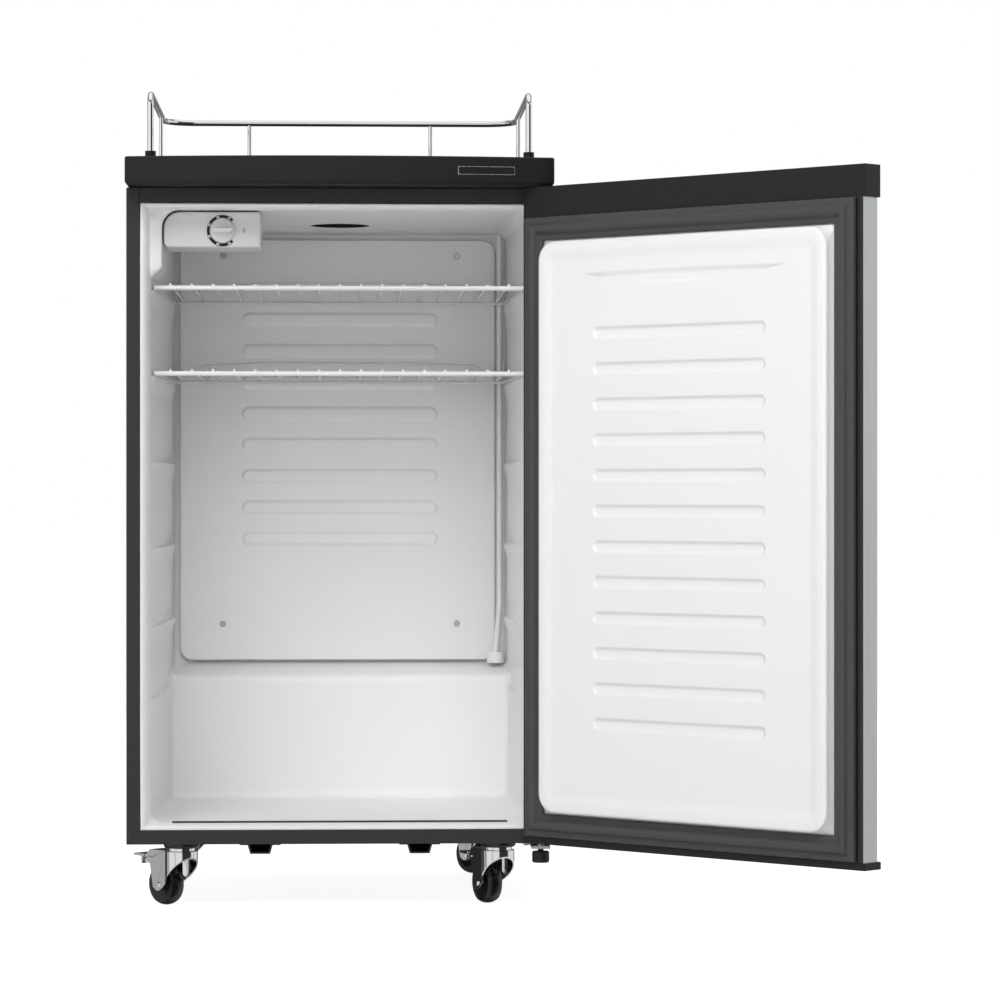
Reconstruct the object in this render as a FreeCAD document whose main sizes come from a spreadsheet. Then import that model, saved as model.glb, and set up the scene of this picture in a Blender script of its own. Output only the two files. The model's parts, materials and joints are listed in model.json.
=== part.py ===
import FreeCAD, Part
import math
import os
from types import SimpleNamespace

import Sketcher
from FreeCAD import Placement, Rotation, Vector

# A free-standing beer dispenser cabinet on four swivel casters, door swung open.
# Frame: X = 0 on the cabinet's middle plane (+X to the hinge side), Y = 0 on the front face of the
# door frame (+Y to the back), Z = 0 on the floor. Millimetres and degrees throughout.

SIZES = {
    # cabinet shell
    "body_width": 511.0,
    "body_base": 80.4,
    "body_top": 866.5,
    "body_depth": 505.0,
    "panel_skin": 1.0,
    "overcut": 1.0,
    "fit_gap": 0.1,
    "close_gap": 0.02,
    "running_gap": 0.05,
    "frame_side": 16.5,
    "frame_bottom": 16.7,
    "frame_top": 18.0,
    "frame_deep": 5.0,
    "seam": 0.3,
    # moulded inner liner and the step over the compressor
    "liner_skin": 1.5,
    "liner_lip": 25.0,
    "wall_front": 228.0,
    "wall_rear": 218.5,
    "ceiling": 842.5,
    "inner_floor": 104.0,
    "back_wall": 457.0,
    "step_front": 391.0,
    "step_top": 263.0,
    "step_rise": 15.0,
    "foam_wall": 38.0,
    "ledge_reach": 5.0,
    "ledge_thick": 9.0,
    "ledge_start": 30.0,
    "ledge_end_gap": 8.0,
    "crest_cut": 5.0,
    "shoulder_gap": 0.3,
    # top cover, tower hole, badge and guard rail
    "cover_base": 866.7,
    "cover_top": 901.0,
    "cover_corner": 38.0,
    "bow": 22.0,
    "cover_skin": 3.0,
    "tower_back": 308.0,
    "tower_radius": 36.0,
    "sleeve_wall": 2.0,
    "tower_pitch": 46.0,
    "tower_screw": 2.5,
    "badge_width": 68.0,
    "badge_height": 10.0,
    "badge_middle": 174.0,
    "badge_base": 879.0,
    "badge_thick": 0.8,
    "rail_half": 227.5,
    "rail_top": 981.0,
    "rail_front": 20.0,
    "rail_back": 392.0,
    "rail_tube": 3.75,
    "rail_rod": 2.5,
    "rail_corner": 40.0,
    "rail_bend": 14.0,
    "side_post": 293.0,
    "rear_post": 117.5,
    "collar_radius": 6.5,
    "collar_neck": 5.5,
    "collar_step": 4.0,
    "collar_high": 11.0,
    # door, measured from the hinge axis with the door closed
    "hinge_inset": 15.9,
    "hinge_front": 25.0,
    "door_open": 135.0,
    "door_half": 13.0,
    "door_base": 83.0,
    "door_top": 866.0,
    "pan_free": 491.6,
    "trim_free": 495.1,
    "cap_high": 36.2,
    "trim_high": 8.5,
    "trim_proud": 4.0,
    "pan_return": 20.0,
    "door_panel_hinge": 20.0,
    "door_panel_free": 454.0,
    "door_panel_low": 121.0,
    "door_panel_high": 800.5,
    "door_panel_proud": 17.0,
    "panel_void": 8.0,
    "pad_inset": 5.0,
    "pad_corner": 22.0,
    "gasket_width": 28.0,
    "gasket_inset": 8.7,
    "gasket_hinge": 8.9,
    "gasket_low": 92.0,
    "gasket_high": 829.3,
    "gasket_lip": 5.0,
    "gasket_proud": 10.0,
    "crest_start": 8.5,
    "crest_width": 11.5,
    "grip_width": 120.0,
    "grip_deep": 14.0,
    "pin_radius": 4.0,
    "bush_radius": 7.0,
    "bush_high": 14.0,
    "bracket_thick": 3.5,
    "bracket_gap": 0.2,
    "tongue_half": 11.0,
    "tongue_front": 34.0,
    "bracket_left": 216.0,
    "bracket_right": 251.0,
    "lower_plate_front": 38.0,
    "lower_plate_back": 76.0,
    "upper_plate_front": 34.0,
    "upper_plate_back": 62.0,
    "hinge_screw_left": 226.0,
    "hinge_screw_right": 242.0,
    "upper_screw_near": 18.0,
    "upper_screw_far": 48.0,
    "lower_screw_near": 46.0,
    "lower_screw_far": 67.0,
    "hinge_screw": 2.5,
    "hinge_head": 4.5,
    "hinge_head_high": 3.0,
    "foot_radius": 10.3,
    "foot_base": 60.0,
    "foot_high": 13.5,
    "foot_edge": 1.2,
    "foot_stud": 3.5,
    # inside fittings
    "plate_left": 209.3,
    "plate_right": 203.4,
    "plate_low": 282.0,
    "plate_high": 833.0,
    "plate_thick": 2.0,
    "plate_back": 450.0,
    "plate_boss": 6.5,
    "rib_half": 128.0,
    "rib_high": 17.0,
    "rib_pitch": 41.1,
    "rib_first": 720.0,
    "rib_proud": 3.0,
    "plate_screw": 153.6,
    "plate_screw_low": 329.0,
    "plate_screw_high": 812.5,
    "middle_screw": 175.0,
    "middle_screw_level": 653.0,
    "plate_hole": 2.2,
    "plate_screw_shank": 2.1,
    "plate_screw_head": 4.2,
    "plate_head_top": 3.2,
    "drain_radius": 3.2,
    "drain_across": 209.4,
    "drain_back": 442.0,
    "drain_bend": 10.0,
    "drain_collar": 11.0,
    "collar_across": 204.0,
    "collar_back": 436.0,
    "drain_collar_high": 14.0,
    "drain_lean": 75.0,
    "housing_left": 212.8,
    "housing_right": 95.5,
    "housing_low": 798.0,
    "housing_top_gap": 1.6,
    "housing_front": 40.0,
    "housing_deep": 95.0,
    "housing_skin": 2.0,
    "knob_across": 141.7,
    "knob_level": 818.0,
    "knob_radius": 14.8,
    "knob_deep": 12.0,
    "knob_skirt": 4.0,
    "knob_gap": 0.3,
    "knob_grip": 3.0,
    "shaft_radius": 3.0,
    "shaft_reach": 26.0,
    "switch_half": 18.0,
    "switch_front": 12.0,
    "switch_deep": 53.0,
    "switch_low": 4.0,
    "switch_high": 34.0,
    # wire shelves
    "shelf_half": 225.0,
    "shelf_rear_half": 217.0,
    "shelf_front": 50.0,
    "shelf_back": 428.0,
    "upper_level": 749.4,
    "lower_level": 645.7,
    "front_wire": 2.9,
    "rear_wire": 2.0,
    "cross_wire": 1.5,
    "cross_pitch": 25.6,
    "side_wire": 2.2,
    "side_wire_inset": 2.5,
    "side_wire_drop": 0.8,
    "cross_overhang": 1.5,
    "cross_sink": 0.6,
    "guard_half": 184.0,
    "guard_low": 20.5,
    "guard_high": 24.5,
    "guard_rise": 100.0,
    "guard_bend": 9.0,
    "guard_wire": 1.8,
    "guard_inset": 4.0,
    # casters
    "caster_side": 192.0,
    "caster_front": 60.0,
    "caster_rear": 430.0,
    "wheel_radius": 25.4,
    "wheel_half": 9.5,
    "hub_radius": 17.0,
    "caster_trail": 30.0,
    "horn_radius": 20.0,
    "horn_half": 14.0,
    "horn_top": 67.5,
    "horn_skin": 2.0,
    "horn_back": 51.0,
    "horn_brow": 62.0,
    "horn_waist": 50.0,
    "horn_ear_low": 54.0,
    "horn_ear": 62.0,
    "ear_cut": 6.0,
    "horn_toe": 17.6,
    "toe_half": 9.0,
    "toe_flat": 3.0,
    "toe_rise": 4.0,
    "race_radius": 17.0,
    "axle_radius": 3.0,
    "axle_head": 4.0,
    "axle_head_high": 1.6,
    "tyre_crown": 3.0,
    "hub_boss": 7.0,
    "hub_web": 3.0,
    "cup_radius": 21.5,
    "cup_base": 71.5,
    "cup_edge": 2.0,
    "king_radius": 5.0,
    "king_head": 7.5,
    "king_foot": 58.0,
    "pedal_back": 46.0,
    "pedal_level": 57.0,
    "pedal_tip": 76.0,
    "pedal_pin": 2.0,
    "pedal_boss": 4.5,
    "pedal_half": 15.0,
    "pedal_thick": 3.0,
    "hook_half": 8.0,
    "hook_drop": 9.0,
    "shoe_drop": 8.5,
    "shoe_heel": 1.0,
    "shoe_toe": 2.0,
    "shoe_root": 4.0,
    "shoe_inset": 2.0,
    "pad_gap": 4.0,
    "swivel_front_left": 40.0,
    "swivel_front_right": 24.0,
    "swivel_rear_left": 38.0,
    "swivel_rear_right": 36.0,
    # underside rails and the refrigeration machinery behind the step
    "hat_middle": 95.8,
    "hat_flange": 24.7,
    "hat_half": 15.0,
    "hat_deep": 12.5,
    "hat_skin": 2.0,
    "hat_draft": 3.0,
    "hat_start": 10.0,
    "tray_back": 560.0,
    "tray_half": 229.0,
    "tray_skin": 2.0,
    "tray_lip": 24.0,
    "tray_gap": 4.0,
    "compressor_across": 60.0,
    "compressor_back": 496.0,
    "compressor_radius": 60.0,
    "compressor_low": 95.0,
    "compressor_high": 222.0,
    "foot_half": 78.0,
    "foot_deep_half": 42.0,
    "foot_lift": 6.0,
    "foot_thick": 3.0,
    "bolt_across": 66.0,
    "bolt_deep": 32.0,
    "bolt_hole": 5.0,
    "stub_radius": 3.2,
    "stub_drop": 10.0,
    "stub_deep": 30.0,
    "stub_bend": 8.0,
    "grommet_radius": 9.0,
    "grommet_waist": 4.9,
    "terminal_half": 26.0,
    "terminal_low": 40.0,
    "terminal_high": 96.0,
    "pan_left": 200.0,
    "pan_right": 70.0,
    "pan_front": 50.0,
    "pan_back": 12.0,
    "pan_low": 115.0,
    "pan_high": 157.0,
    "pan_skin": 2.0,
    "coil_back": 535.0,
    "coil_half": 195.0,
    "coil_low": 330.0,
    "coil_pitch": 44.0,
    "coil_tube": 2.5,
    "coil_wire": 0.9,
    "coil_margin": 25.0,
    "coil_overhang": 12.0,
    "strap_width": 10.0,
    "strap_thick": 3.0,
    "cord_radius": 3.5,
    "cord_bend": 13.0,
    "cord_back": 14.0,
    "cord_across": 150.0,
    "cord_level": 176.0,
    "cord_loop": 40.0,
    "cord_top": 260.0,
    "cord_bottom": 110.0,
    "plug_across": 130.0,
    "plug_level": 224.0,
    "plug_width": 26.0,
    "plug_deep": 20.0,
    "plug_high": 32.0,
    "blade_pitch": 12.5,
    "blade_thick": 1.5,
    "blade_width": 6.5,
    "blade_long": 17.0,
}

COIL_PASSES = 11
COIL_WIRES = 21
RIBS = 8
CROSS_WIRES = 17
# Compressor shell, as inset from its widest radius and height above its foot or below its crown.
SHELL_FOOT = ((22.0, 0.0), (4.0, 12.0), (0.0, 30.0))
SHELL_DOME = ((0.0, 34.0), (8.0, 14.0), (26.0, 2.0))
LEDGE_TOPS = (746.3, 642.6, 539.0, 434.0, 339.0, 252.0)

doc = FreeCAD.newDocument("Kegerator")
sheet = doc.addObject("Spreadsheet::Sheet", "Sizes")
for line, (alias, number) in enumerate(SIZES.items(), start=1):
    sheet.set(f"A{line}", alias)
    sheet.set(f"B{line}", str(number))
    sheet.setAlias(f"B{line}", alias)
doc.recompute()


class Rule:
    """A number together with the sheet expression that yields it."""

    def __init__(self, value, text):
        self.value = value
        self.text = text

    def __float__(self):
        return float(self.value)

    def __neg__(self):
        return Rule(-self.value, f"(-{self.text})")

    def __add__(self, other):
        other = as_rule(other)
        return Rule(self.value + other.value, f"({self.text} + {other.text})")

    def __sub__(self, other):
        other = as_rule(other)
        return Rule(self.value - other.value, f"({self.text} - {other.text})")

    def __mul__(self, other):
        other = as_rule(other)
        return Rule(self.value * other.value, f"({self.text} * {other.text})")

    def __truediv__(self, other):
        other = as_rule(other)
        return Rule(self.value / other.value, f"({self.text} / {other.text})")

    __radd__ = __add__
    __rmul__ = __mul__

    def __rsub__(self, other):
        return as_rule(other) - self


def as_rule(value):
    return value if isinstance(value, Rule) else Rule(float(value), f"({float(value)!r})")


S = SimpleNamespace(
    **{alias: Rule(float(sheet.get(alias)), f"Sizes.{alias}") for alias in SIZES}
)

half_body = S.body_width / 2
hinge_x = half_body - S.hinge_inset
hinge_y = -S.hinge_front
opening_half = half_body - S.frame_side
opening_low = S.body_base + S.frame_bottom
opening_high = S.body_top - S.frame_top
nodes = {}

TURNED = {
    "x": Rotation(Vector(0, 1, 0), 90),
    "y": Rotation(Vector(1, 0, 0), -90),
    "z": Rotation(),
}


# ---- building blocks ----


def bind(item, path, rule):
    item.setExpression(path, as_rule(rule).text)


def place(item, at, axis="z", turn=None):
    """Puts an object at a point, its own +Z along axis, or turned about Z by a sheet angle."""
    item.Placement = Placement(Vector(), Rotation(Vector(0, 0, 1), 1.0) if turn else TURNED[axis])
    for letter, rule in zip("xyz", at):
        bind(item, f"Placement.Base.{letter}", rule)
    if turn:
        bind(item, "Placement.Rotation.Angle", turn)
    return item


def box(name, low, high):
    """A block between two corners."""
    item = doc.addObject("Part::Box", name)
    for path, start, end in zip(("Length", "Width", "Height"), low, high):
        bind(item, path, as_rule(end) - start)
    return place(item, low)


def cylinder(name, radius, height, at, axis="z"):
    item = doc.addObject("Part::Cylinder", name)
    bind(item, "Radius", radius)
    bind(item, "Height", height)
    return place(item, at, axis)


def frustum(name, near, near_y, far, far_y):
    """A tapered block along Y; near and far are (half width, low, high) at the two ends."""
    item = doc.addObject("Part::Wedge", name)
    ends = (("", near), ("2", far))
    for mark, (half, low, high) in ends:
        bind(item, f"X{mark}min", -as_rule(half))
        bind(item, f"X{mark}max", half)
        bind(item, f"Z{mark}min", low)
        bind(item, f"Z{mark}max", high)
    bind(item, "Ymin", near_y)
    bind(item, "Ymax", far_y)
    return item


def cut(name, base, *tools):
    item = doc.addObject("Part::Cut", name)
    item.Base = base
    item.Tool = tools[0] if len(tools) == 1 else fuse(name + "_tools", *tools)
    return item


def fuse(name, *items):
    item = doc.addObject("Part::MultiFuse", name)
    item.Shapes = list(items)
    return item


def common(name, *items):
    item = doc.addObject("Part::MultiCommon", name)
    item.Shapes = list(items)
    return item


def group(name, *items):
    """Separate solids kept side by side in one object."""
    item = doc.addObject("Part::Compound", name)
    item.Links = list(items)
    return item


def outline(body, name, plane, points, bows):
    """A closed sketch through points; edge i bulges outward by bows[i] where it is given."""
    sketch = body.newObject("Sketcher::SketchObject", name)
    support = [f for f in body.Origin.OriginFeatures if f.Role == plane][0]
    sketch.AttachmentSupport = [(support, "")]
    sketch.MapMode = "FlatFace"
    corners = [Vector(float(a), float(b), 0) for a, b in points]
    starts, ends = [], []
    for i, here in enumerate(corners):
        there = corners[(i + 1) % len(corners)]
        if i in bows:
            chord = there - here
            side = Vector(chord.y, -chord.x, 0).normalize()
            middle = (here + there) / 2 + side * float(bows[i])
            edge = sketch.addGeometry(Part.Arc(here, middle, there), False)
            forward = sketch.getPoint(edge, 1).distanceToPoint(here) < 1e-6
            starts.append((edge, 1 if forward else 2))
            ends.append((edge, 2 if forward else 1))
        else:
            edge = sketch.addGeometry(Part.LineSegment(here, there), False)
            starts.append((edge, 1))
            ends.append((edge, 2))
    for i, (edge, end) in enumerate(starts):
        before = ends[i - 1]
        sketch.addConstraint(Sketcher.Constraint("Coincident", *before, edge, end))
        for kind, rule in zip(("DistanceX", "DistanceY"), points[i]):
            rule = as_rule(rule)
            number = sketch.addConstraint(Sketcher.Constraint(kind, -1, 1, edge, end, rule.value))
            sketch.setExpression(f"Constraints[{number}]", rule.text)
    for i, depth in bows.items():
        (ax, ay), (bx, by) = points[i], points[(i + 1) % len(points)]
        chord = math.hypot(float(bx) - float(ax), float(by) - float(ay))
        radius = bow_radius(as_rule(bx) - ax if abs(float(bx) - float(ax)) == chord else chord, depth)
        number = sketch.addConstraint(Sketcher.Constraint("Radius", starts[i][0], radius.value))
        sketch.setExpression(f"Constraints[{number}]", radius.text)
    return sketch


def bow_radius(chord, depth):
    """Radius of the arc that spans chord and rises by depth."""
    chord, depth = as_rule(chord), as_rule(depth)
    return (chord * chord / 4 + depth * depth) / (depth * 2)


def prism(name, plane, points, length, start=0, bows=None, reversed_pad=False):
    """A padded outline; start shifts it along the plane's normal axis."""
    body = doc.addObject("PartDesign::Body", name)
    sketch = outline(body, name + "_outline", plane, points, bows or {})
    pad = body.newObject("PartDesign::Pad", name + "_pad")
    pad.Profile = sketch
    pad.Reversed = reversed_pad
    bind(pad, "Length", length)
    axis = {"XY_Plane": 2, "XZ_Plane": 1, "YZ_Plane": 0}[plane]
    at = [0, 0, 0]
    at[axis] = start
    return place(body, at)


def turned(name, points, at, axis="z", bows=None):
    """An outline of (radius, height) points turned all the way round."""
    body = doc.addObject("PartDesign::Body", name)
    sketch = outline(body, name + "_outline", "XZ_Plane", points, bows or {})
    spin = body.newObject("PartDesign::Revolution", name + "_spin")
    spin.Profile = sketch
    spin.ReferenceAxis = (sketch, ["V_Axis"])
    spin.Angle = 360.0
    return place(body, at, axis)


def pipe(points, bend, radius):
    """A round bar along a path whose corners are rounded to the bend radius."""
    corners = [Vector(*(float(c) for c in p)) for p in points]
    edges, here = [], corners[0]
    for before, corner, after in zip(corners, corners[1:], corners[2:]):
        back = (before - corner).normalize()
        on = (after - corner).normalize()
        half_angle = back.getAngle(on) / 2
        reach = bend / math.tan(half_angle)
        start, end = corner + back * reach, corner + on * reach
        middle = corner + (back + on).normalize() * (bend / math.sin(half_angle) - bend)
        if here.distanceToPoint(start) > 1e-6:
            edges.append(Part.LineSegment(here, start).toShape())
        edges.append(Part.Arc(start, middle, end).toShape())
        here = end
    edges.append(Part.LineSegment(here, corners[-1]).toShape())
    path = Part.Wire(edges)
    ring = Part.Wire(Part.Circle(corners[0], corners[1] - corners[0], float(radius)).toShape())
    return path.makePipeShell([ring], True, True)


def rod(start, end, radius):
    start, end = (Vector(*(float(c) for c in p)) for p in (start, end))
    return Part.makeCylinder(float(radius), (end - start).Length, start, end - start)


def shape_object(name, shape, at=None):
    item = doc.addObject("Part::Feature", name)
    item.Shape = shape
    return place(item, at) if at else item


def node(label, item):
    """Registers an object as one named piece of the appliance."""
    if item.Name != label:
        item = group(label, item)
    item.Label = label
    nodes[label] = item
    return item


# ---- cabinet shell ----


def build_shell():
    base, top, skin = S.body_base, S.body_top, S.panel_skin
    low_z = base + skin
    for side, label in ((-1, "left_side_panel"), (1, "right_side_panel")):
        inner = (half_body - skin) * side
        outer = half_body * side
        low = (outer if side < 0 else inner, S.frame_deep, base)
        high = (inner if side < 0 else outer, S.body_depth, top)
        node(label, box(label, low, high))
    inside = half_body - skin
    top_plate = box("top_plate", (-inside, S.frame_deep, top - skin), (inside, S.body_depth - skin, top))
    top_hole = cylinder("top_hole", S.tower_radius + S.sleeve_wall, skin, (0, S.tower_back, top - skin))
    node("top_panel", cut("top_panel", top_plate, top_hole))
    rear_low = S.step_top - S.foam_wall
    node("rear_panel", box("rear_panel", (-inside, S.body_depth - skin, rear_low),
                           (inside, S.body_depth, top)))
    node("base_panel", box("base_panel", (-inside, S.frame_deep, base), (inside, S.body_depth, low_z)))


def build_front_frame():
    """Two stiles, a sill with mitred corners and a head rail that butts between the stiles."""
    pieces = []
    for side, name in ((-1, "left_stile"), (1, "right_stile")):
        outer, inner = half_body * side, (opening_half + S.seam) * side
        points = [(outer, S.body_base + S.seam), (outer, S.body_top), (inner, S.body_top),
                  (inner, opening_low + S.seam)]
        pieces.append(prism(name, "XZ_Plane", points, S.frame_deep, reversed_pad=True))
    sill = [(-half_body, S.body_base), (half_body, S.body_base), (opening_half, opening_low),
            (-opening_half, opening_low)]
    pieces.append(prism("sill", "XZ_Plane", sill, S.frame_deep, reversed_pad=True))
    pieces.append(box("head_rail", (-opening_half, 0, opening_high),
                      (opening_half, S.frame_deep, S.body_top)))
    node("front_frame", group("front_frame", *pieces))


def cavity(name, grow):
    """The refrigerated space, or the outside of its liner when grown by the liner's thickness."""
    low, high = S.inner_floor - grow, S.ceiling + grow
    mouth = (opening_half - S.liner_skin + grow, opening_low + S.liner_skin - grow,
             opening_high - S.liner_skin + grow)
    lip = frustum(name + "_lip", mouth, 0, (S.wall_front + grow, low, high), S.liner_lip)
    main = frustum(name + "_main", (S.wall_front + grow, low, high), S.liner_lip,
                   (S.wall_rear + grow, low, high), S.back_wall + grow)
    step_y, step_z = S.step_front + grow, S.step_top - grow
    back = S.back_wall + grow + 1
    rise = step_z + S.step_rise
    profile = [(step_y, low - 1), (back, low - 1), (back, rise), (step_y, step_z)]
    step = prism(name + "_step", "YZ_Plane", profile, S.body_width, start=-half_body)
    return cut(name, fuse(name + "_space", lip, main), step)


def plate_screw_spots():
    """Where the evaporator plate is screwed to the back wall, as (across, level)."""
    rows = ((S.plate_screw, S.plate_screw_low), (S.middle_screw, S.middle_screw_level),
            (S.plate_screw, S.plate_screw_high))
    return [(sign * across, level) for sign in (-1, 1) for across, level in rows]


def ledge(name, side, top):
    """A shelf support that follows the side wall's taper."""
    inside, outside = -S.ledge_reach, S.liner_skin / 2
    back = S.back_wall - S.ledge_end_gap if top > S.step_top.value else S.step_front + S.overcut
    points = [((S.wall_front + inside) * side, S.ledge_start),
              ((S.wall_front + outside) * side, S.ledge_start),
              ((S.wall_rear + outside) * side, back), ((S.wall_rear + inside) * side, back)]
    return prism(name, "XY_Plane", points, S.ledge_thick, start=top - S.ledge_thick)


def build_liner():
    shell = cut("liner_shell", cavity("liner_outside", S.liner_skin), cavity("liner_inside", 0))
    hole = cylinder("liner_hole", S.tower_radius + S.sleeve_wall, S.liner_skin + S.overcut * 2,
                    (0, S.tower_back, S.ceiling - S.overcut))
    ledges = [ledge(f"ledge_{mark}{level}", side, top) for level, top in enumerate(LEDGE_TOPS)
              for side, mark in ((-1, "l"), (1, "r"))]
    bosses = [cylinder(f"plate_boss_{i}", S.plate_boss, S.back_wall - S.plate_back + S.liner_skin / 2,
                       (x, S.plate_back, z), axis="y") for i, (x, z) in enumerate(plate_screw_spots())]
    node("inner_liner", cut("inner_liner", fuse("liner_with_ledges", shell, *ledges, *bosses), hole))


def build_foam():
    """Insulation slabs between the liner and the steel skin."""
    gap = S.liner_skin + S.fit_gap
    inside = half_body - S.panel_skin
    low, high = S.body_base + S.panel_skin, S.body_top - S.panel_skin
    front = S.frame_deep
    wall = S.wall_front + gap
    back = S.back_wall + gap
    step_y, step_z = S.step_front + gap, S.step_top - gap
    rear = S.body_depth - S.panel_skin
    under = S.step_top - S.foam_wall
    slabs = []
    for side, mark in ((-1, "left"), (1, "right")):
        near = opening_half + S.overcut
        points = [(inside * side, front), (inside * side, rear), (wall * side, rear),
                  (wall * side, S.liner_lip), (near * side, front)]
        slabs.append(prism(f"foam_{mark}", "XY_Plane", points, high - low, start=low))
    roof = box("roof_block", (-wall, S.liner_lip, S.ceiling + gap), (wall, back, high))
    roof_hole = cylinder("roof_hole", S.tower_radius + S.sleeve_wall, high - S.ceiling,
                         (0, S.tower_back, S.ceiling))
    slabs.append(cut("foam_roof", roof, roof_hole))
    slabs.append(box("foam_floor", (-wall, S.liner_lip, low), (wall, step_y, S.inner_floor - gap)))
    slabs.append(box("foam_back", (-wall, back, under), (wall, rear, high)))
    slabs.append(box("foam_step", (-wall, step_y, low), (wall, step_y + S.foam_wall, under)))
    shoulder = [(step_y, under), (back, under), (back, step_z + S.step_rise - S.shoulder_gap),
                (step_y + S.crest_cut, step_z), (step_y, step_z - S.crest_cut)]
    slabs.append(prism("foam_shoulder", "YZ_Plane", shoulder, wall * 2, start=-wall))
    node("foam_insulation", group("foam_insulation", *slabs))


# ---- top cover, tower sleeve, badge and rail ----


def bowed_front(inset):
    """Plan of the cover: straight sides and back, front edge bowed forward."""
    half, front = half_body - inset, -S.cover_corner + inset
    back = S.body_depth - inset
    return [(-half, front), (half, front), (half, back), (-half, back)]


def build_cover():
    high = S.cover_top - S.cover_base
    outside = prism("cover_block", "XY_Plane", bowed_front(0), high, start=S.cover_base, bows={0: S.bow})
    skin = S.cover_skin
    inside = half_body - skin
    under = box("cover_hollow", (-inside, S.frame_deep, S.cover_base - 1),
                (inside, S.body_depth - skin, S.cover_top - skin))
    nose_front, nose_back = -S.cover_corner + skin, S.frame_deep * 2
    nose = [(-inside, nose_front), (inside, nose_front), (inside, nose_back), (-inside, nose_back)]
    nose_hollow = prism("cover_nose", "XY_Plane", nose, high - skin * 2, start=S.cover_base + skin,
                        bows={0: S.bow})
    tools = [under, nose_hollow]
    tools.append(cylinder("cover_hole", S.tower_radius + S.sleeve_wall, high + 2,
                          (0, S.tower_back, S.cover_base - 1)))
    tools.append(cylinder("cover_pin_hole", S.pin_radius + 2, skin + 2, (hinge_x, hinge_y, S.cover_base - 1)))
    for quarter in range(4):
        angle = math.radians(45 + 90 * quarter)
        at = (S.tower_pitch * math.cos(angle), S.tower_back + S.tower_pitch * math.sin(angle),
              S.cover_top - skin - 1)
        tools.append(cylinder(f"tower_screw_{quarter}", S.tower_screw, skin + 2, at))
    node("top_cover", cut("top_cover", outside, *tools))

    outer = S.tower_radius + S.sleeve_wall - S.close_gap
    tube = cylinder("sleeve_tube", outer, S.cover_top - S.ceiling, (0, S.tower_back, S.ceiling))
    hollow = cylinder("sleeve_hollow", S.tower_radius, S.cover_top - S.ceiling + 2,
                      (0, S.tower_back, S.ceiling - 1))
    node("tower_sleeve", cut("tower_sleeve", tube, hollow))

    radius = bow_radius(S.body_width, S.bow)
    centre = (0, radius - S.cover_corner - S.bow, S.badge_base)
    disc = cylinder("badge_disc", radius + S.badge_thick, S.badge_height, centre)
    core = cylinder("badge_core", radius + S.close_gap, S.badge_height, centre)
    start = S.badge_middle - S.badge_width / 2
    window = box("badge_window", (start, -S.cover_corner - S.bow - 5, S.badge_base),
                 (start + S.badge_width, 0, S.badge_base + S.badge_height))
    node("badge_plate", common("badge_plate", cut("badge_ring", disc, core), window))


def build_rail():
    side, top, front, back = S.rail_half, S.rail_top, S.rail_front, S.rail_back
    tube = float(S.rail_tube)
    foot = S.cover_top + S.collar_high
    bend, corner = float(S.rail_bend), float(S.rail_corner)

    def run(mark):
        """One side: up from the collar, back along the top, and round to the middle of the back."""
        upright = pipe([(side * mark, front, foot), (side * mark, front, top),
                        (side * mark, front + bend + 5, top)], bend, tube)
        level = pipe([(side * mark, front + bend + 5, top), (side * mark, back, top), (0, back, top)],
                     corner, tube)
        return upright.fuse(level)

    rail = run(-1).fuse(run(1))
    posts = ((-side, S.side_post), (side, S.side_post), (-S.rear_post, back), (S.rear_post, back))
    for across, depth in posts:
        rail = rail.fuse(rod((across, depth, S.cover_top), (across, depth, top), S.rail_rod))
    node("guard_rail", shape_object("guard_rail", rail.removeSplitter()))

    step = S.collar_step
    profile = [(0, 0), (S.collar_neck, 0), (S.collar_neck, step), (S.collar_radius, step),
               (S.collar_radius, S.collar_high), (0, S.collar_high)]
    collars = [turned(f"collar_{mark}", profile, (side * sign, front, S.cover_top))
               for sign, mark in ((-1, "left"), (1, "right"))]
    node("rail_collars", group("rail_collars", *collars))


# ---- door, drawn closed about its hinge axis and then swung open ----


def door_node(label, item):
    """Swings a door piece, drawn with the hinge axis at X = Y = 0, to its place."""
    place(item, (hinge_x, hinge_y, 0), turn=S.door_open)
    return node(label, item)


def door_plan(free, proud, back):
    """Plan of the door: flat edges, flat back and an outer face bowed forward."""
    return [(-free, -S.door_half - proud), (S.hinge_inset, -S.door_half - proud), (S.hinge_inset, back),
            (-free, back)]


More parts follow.
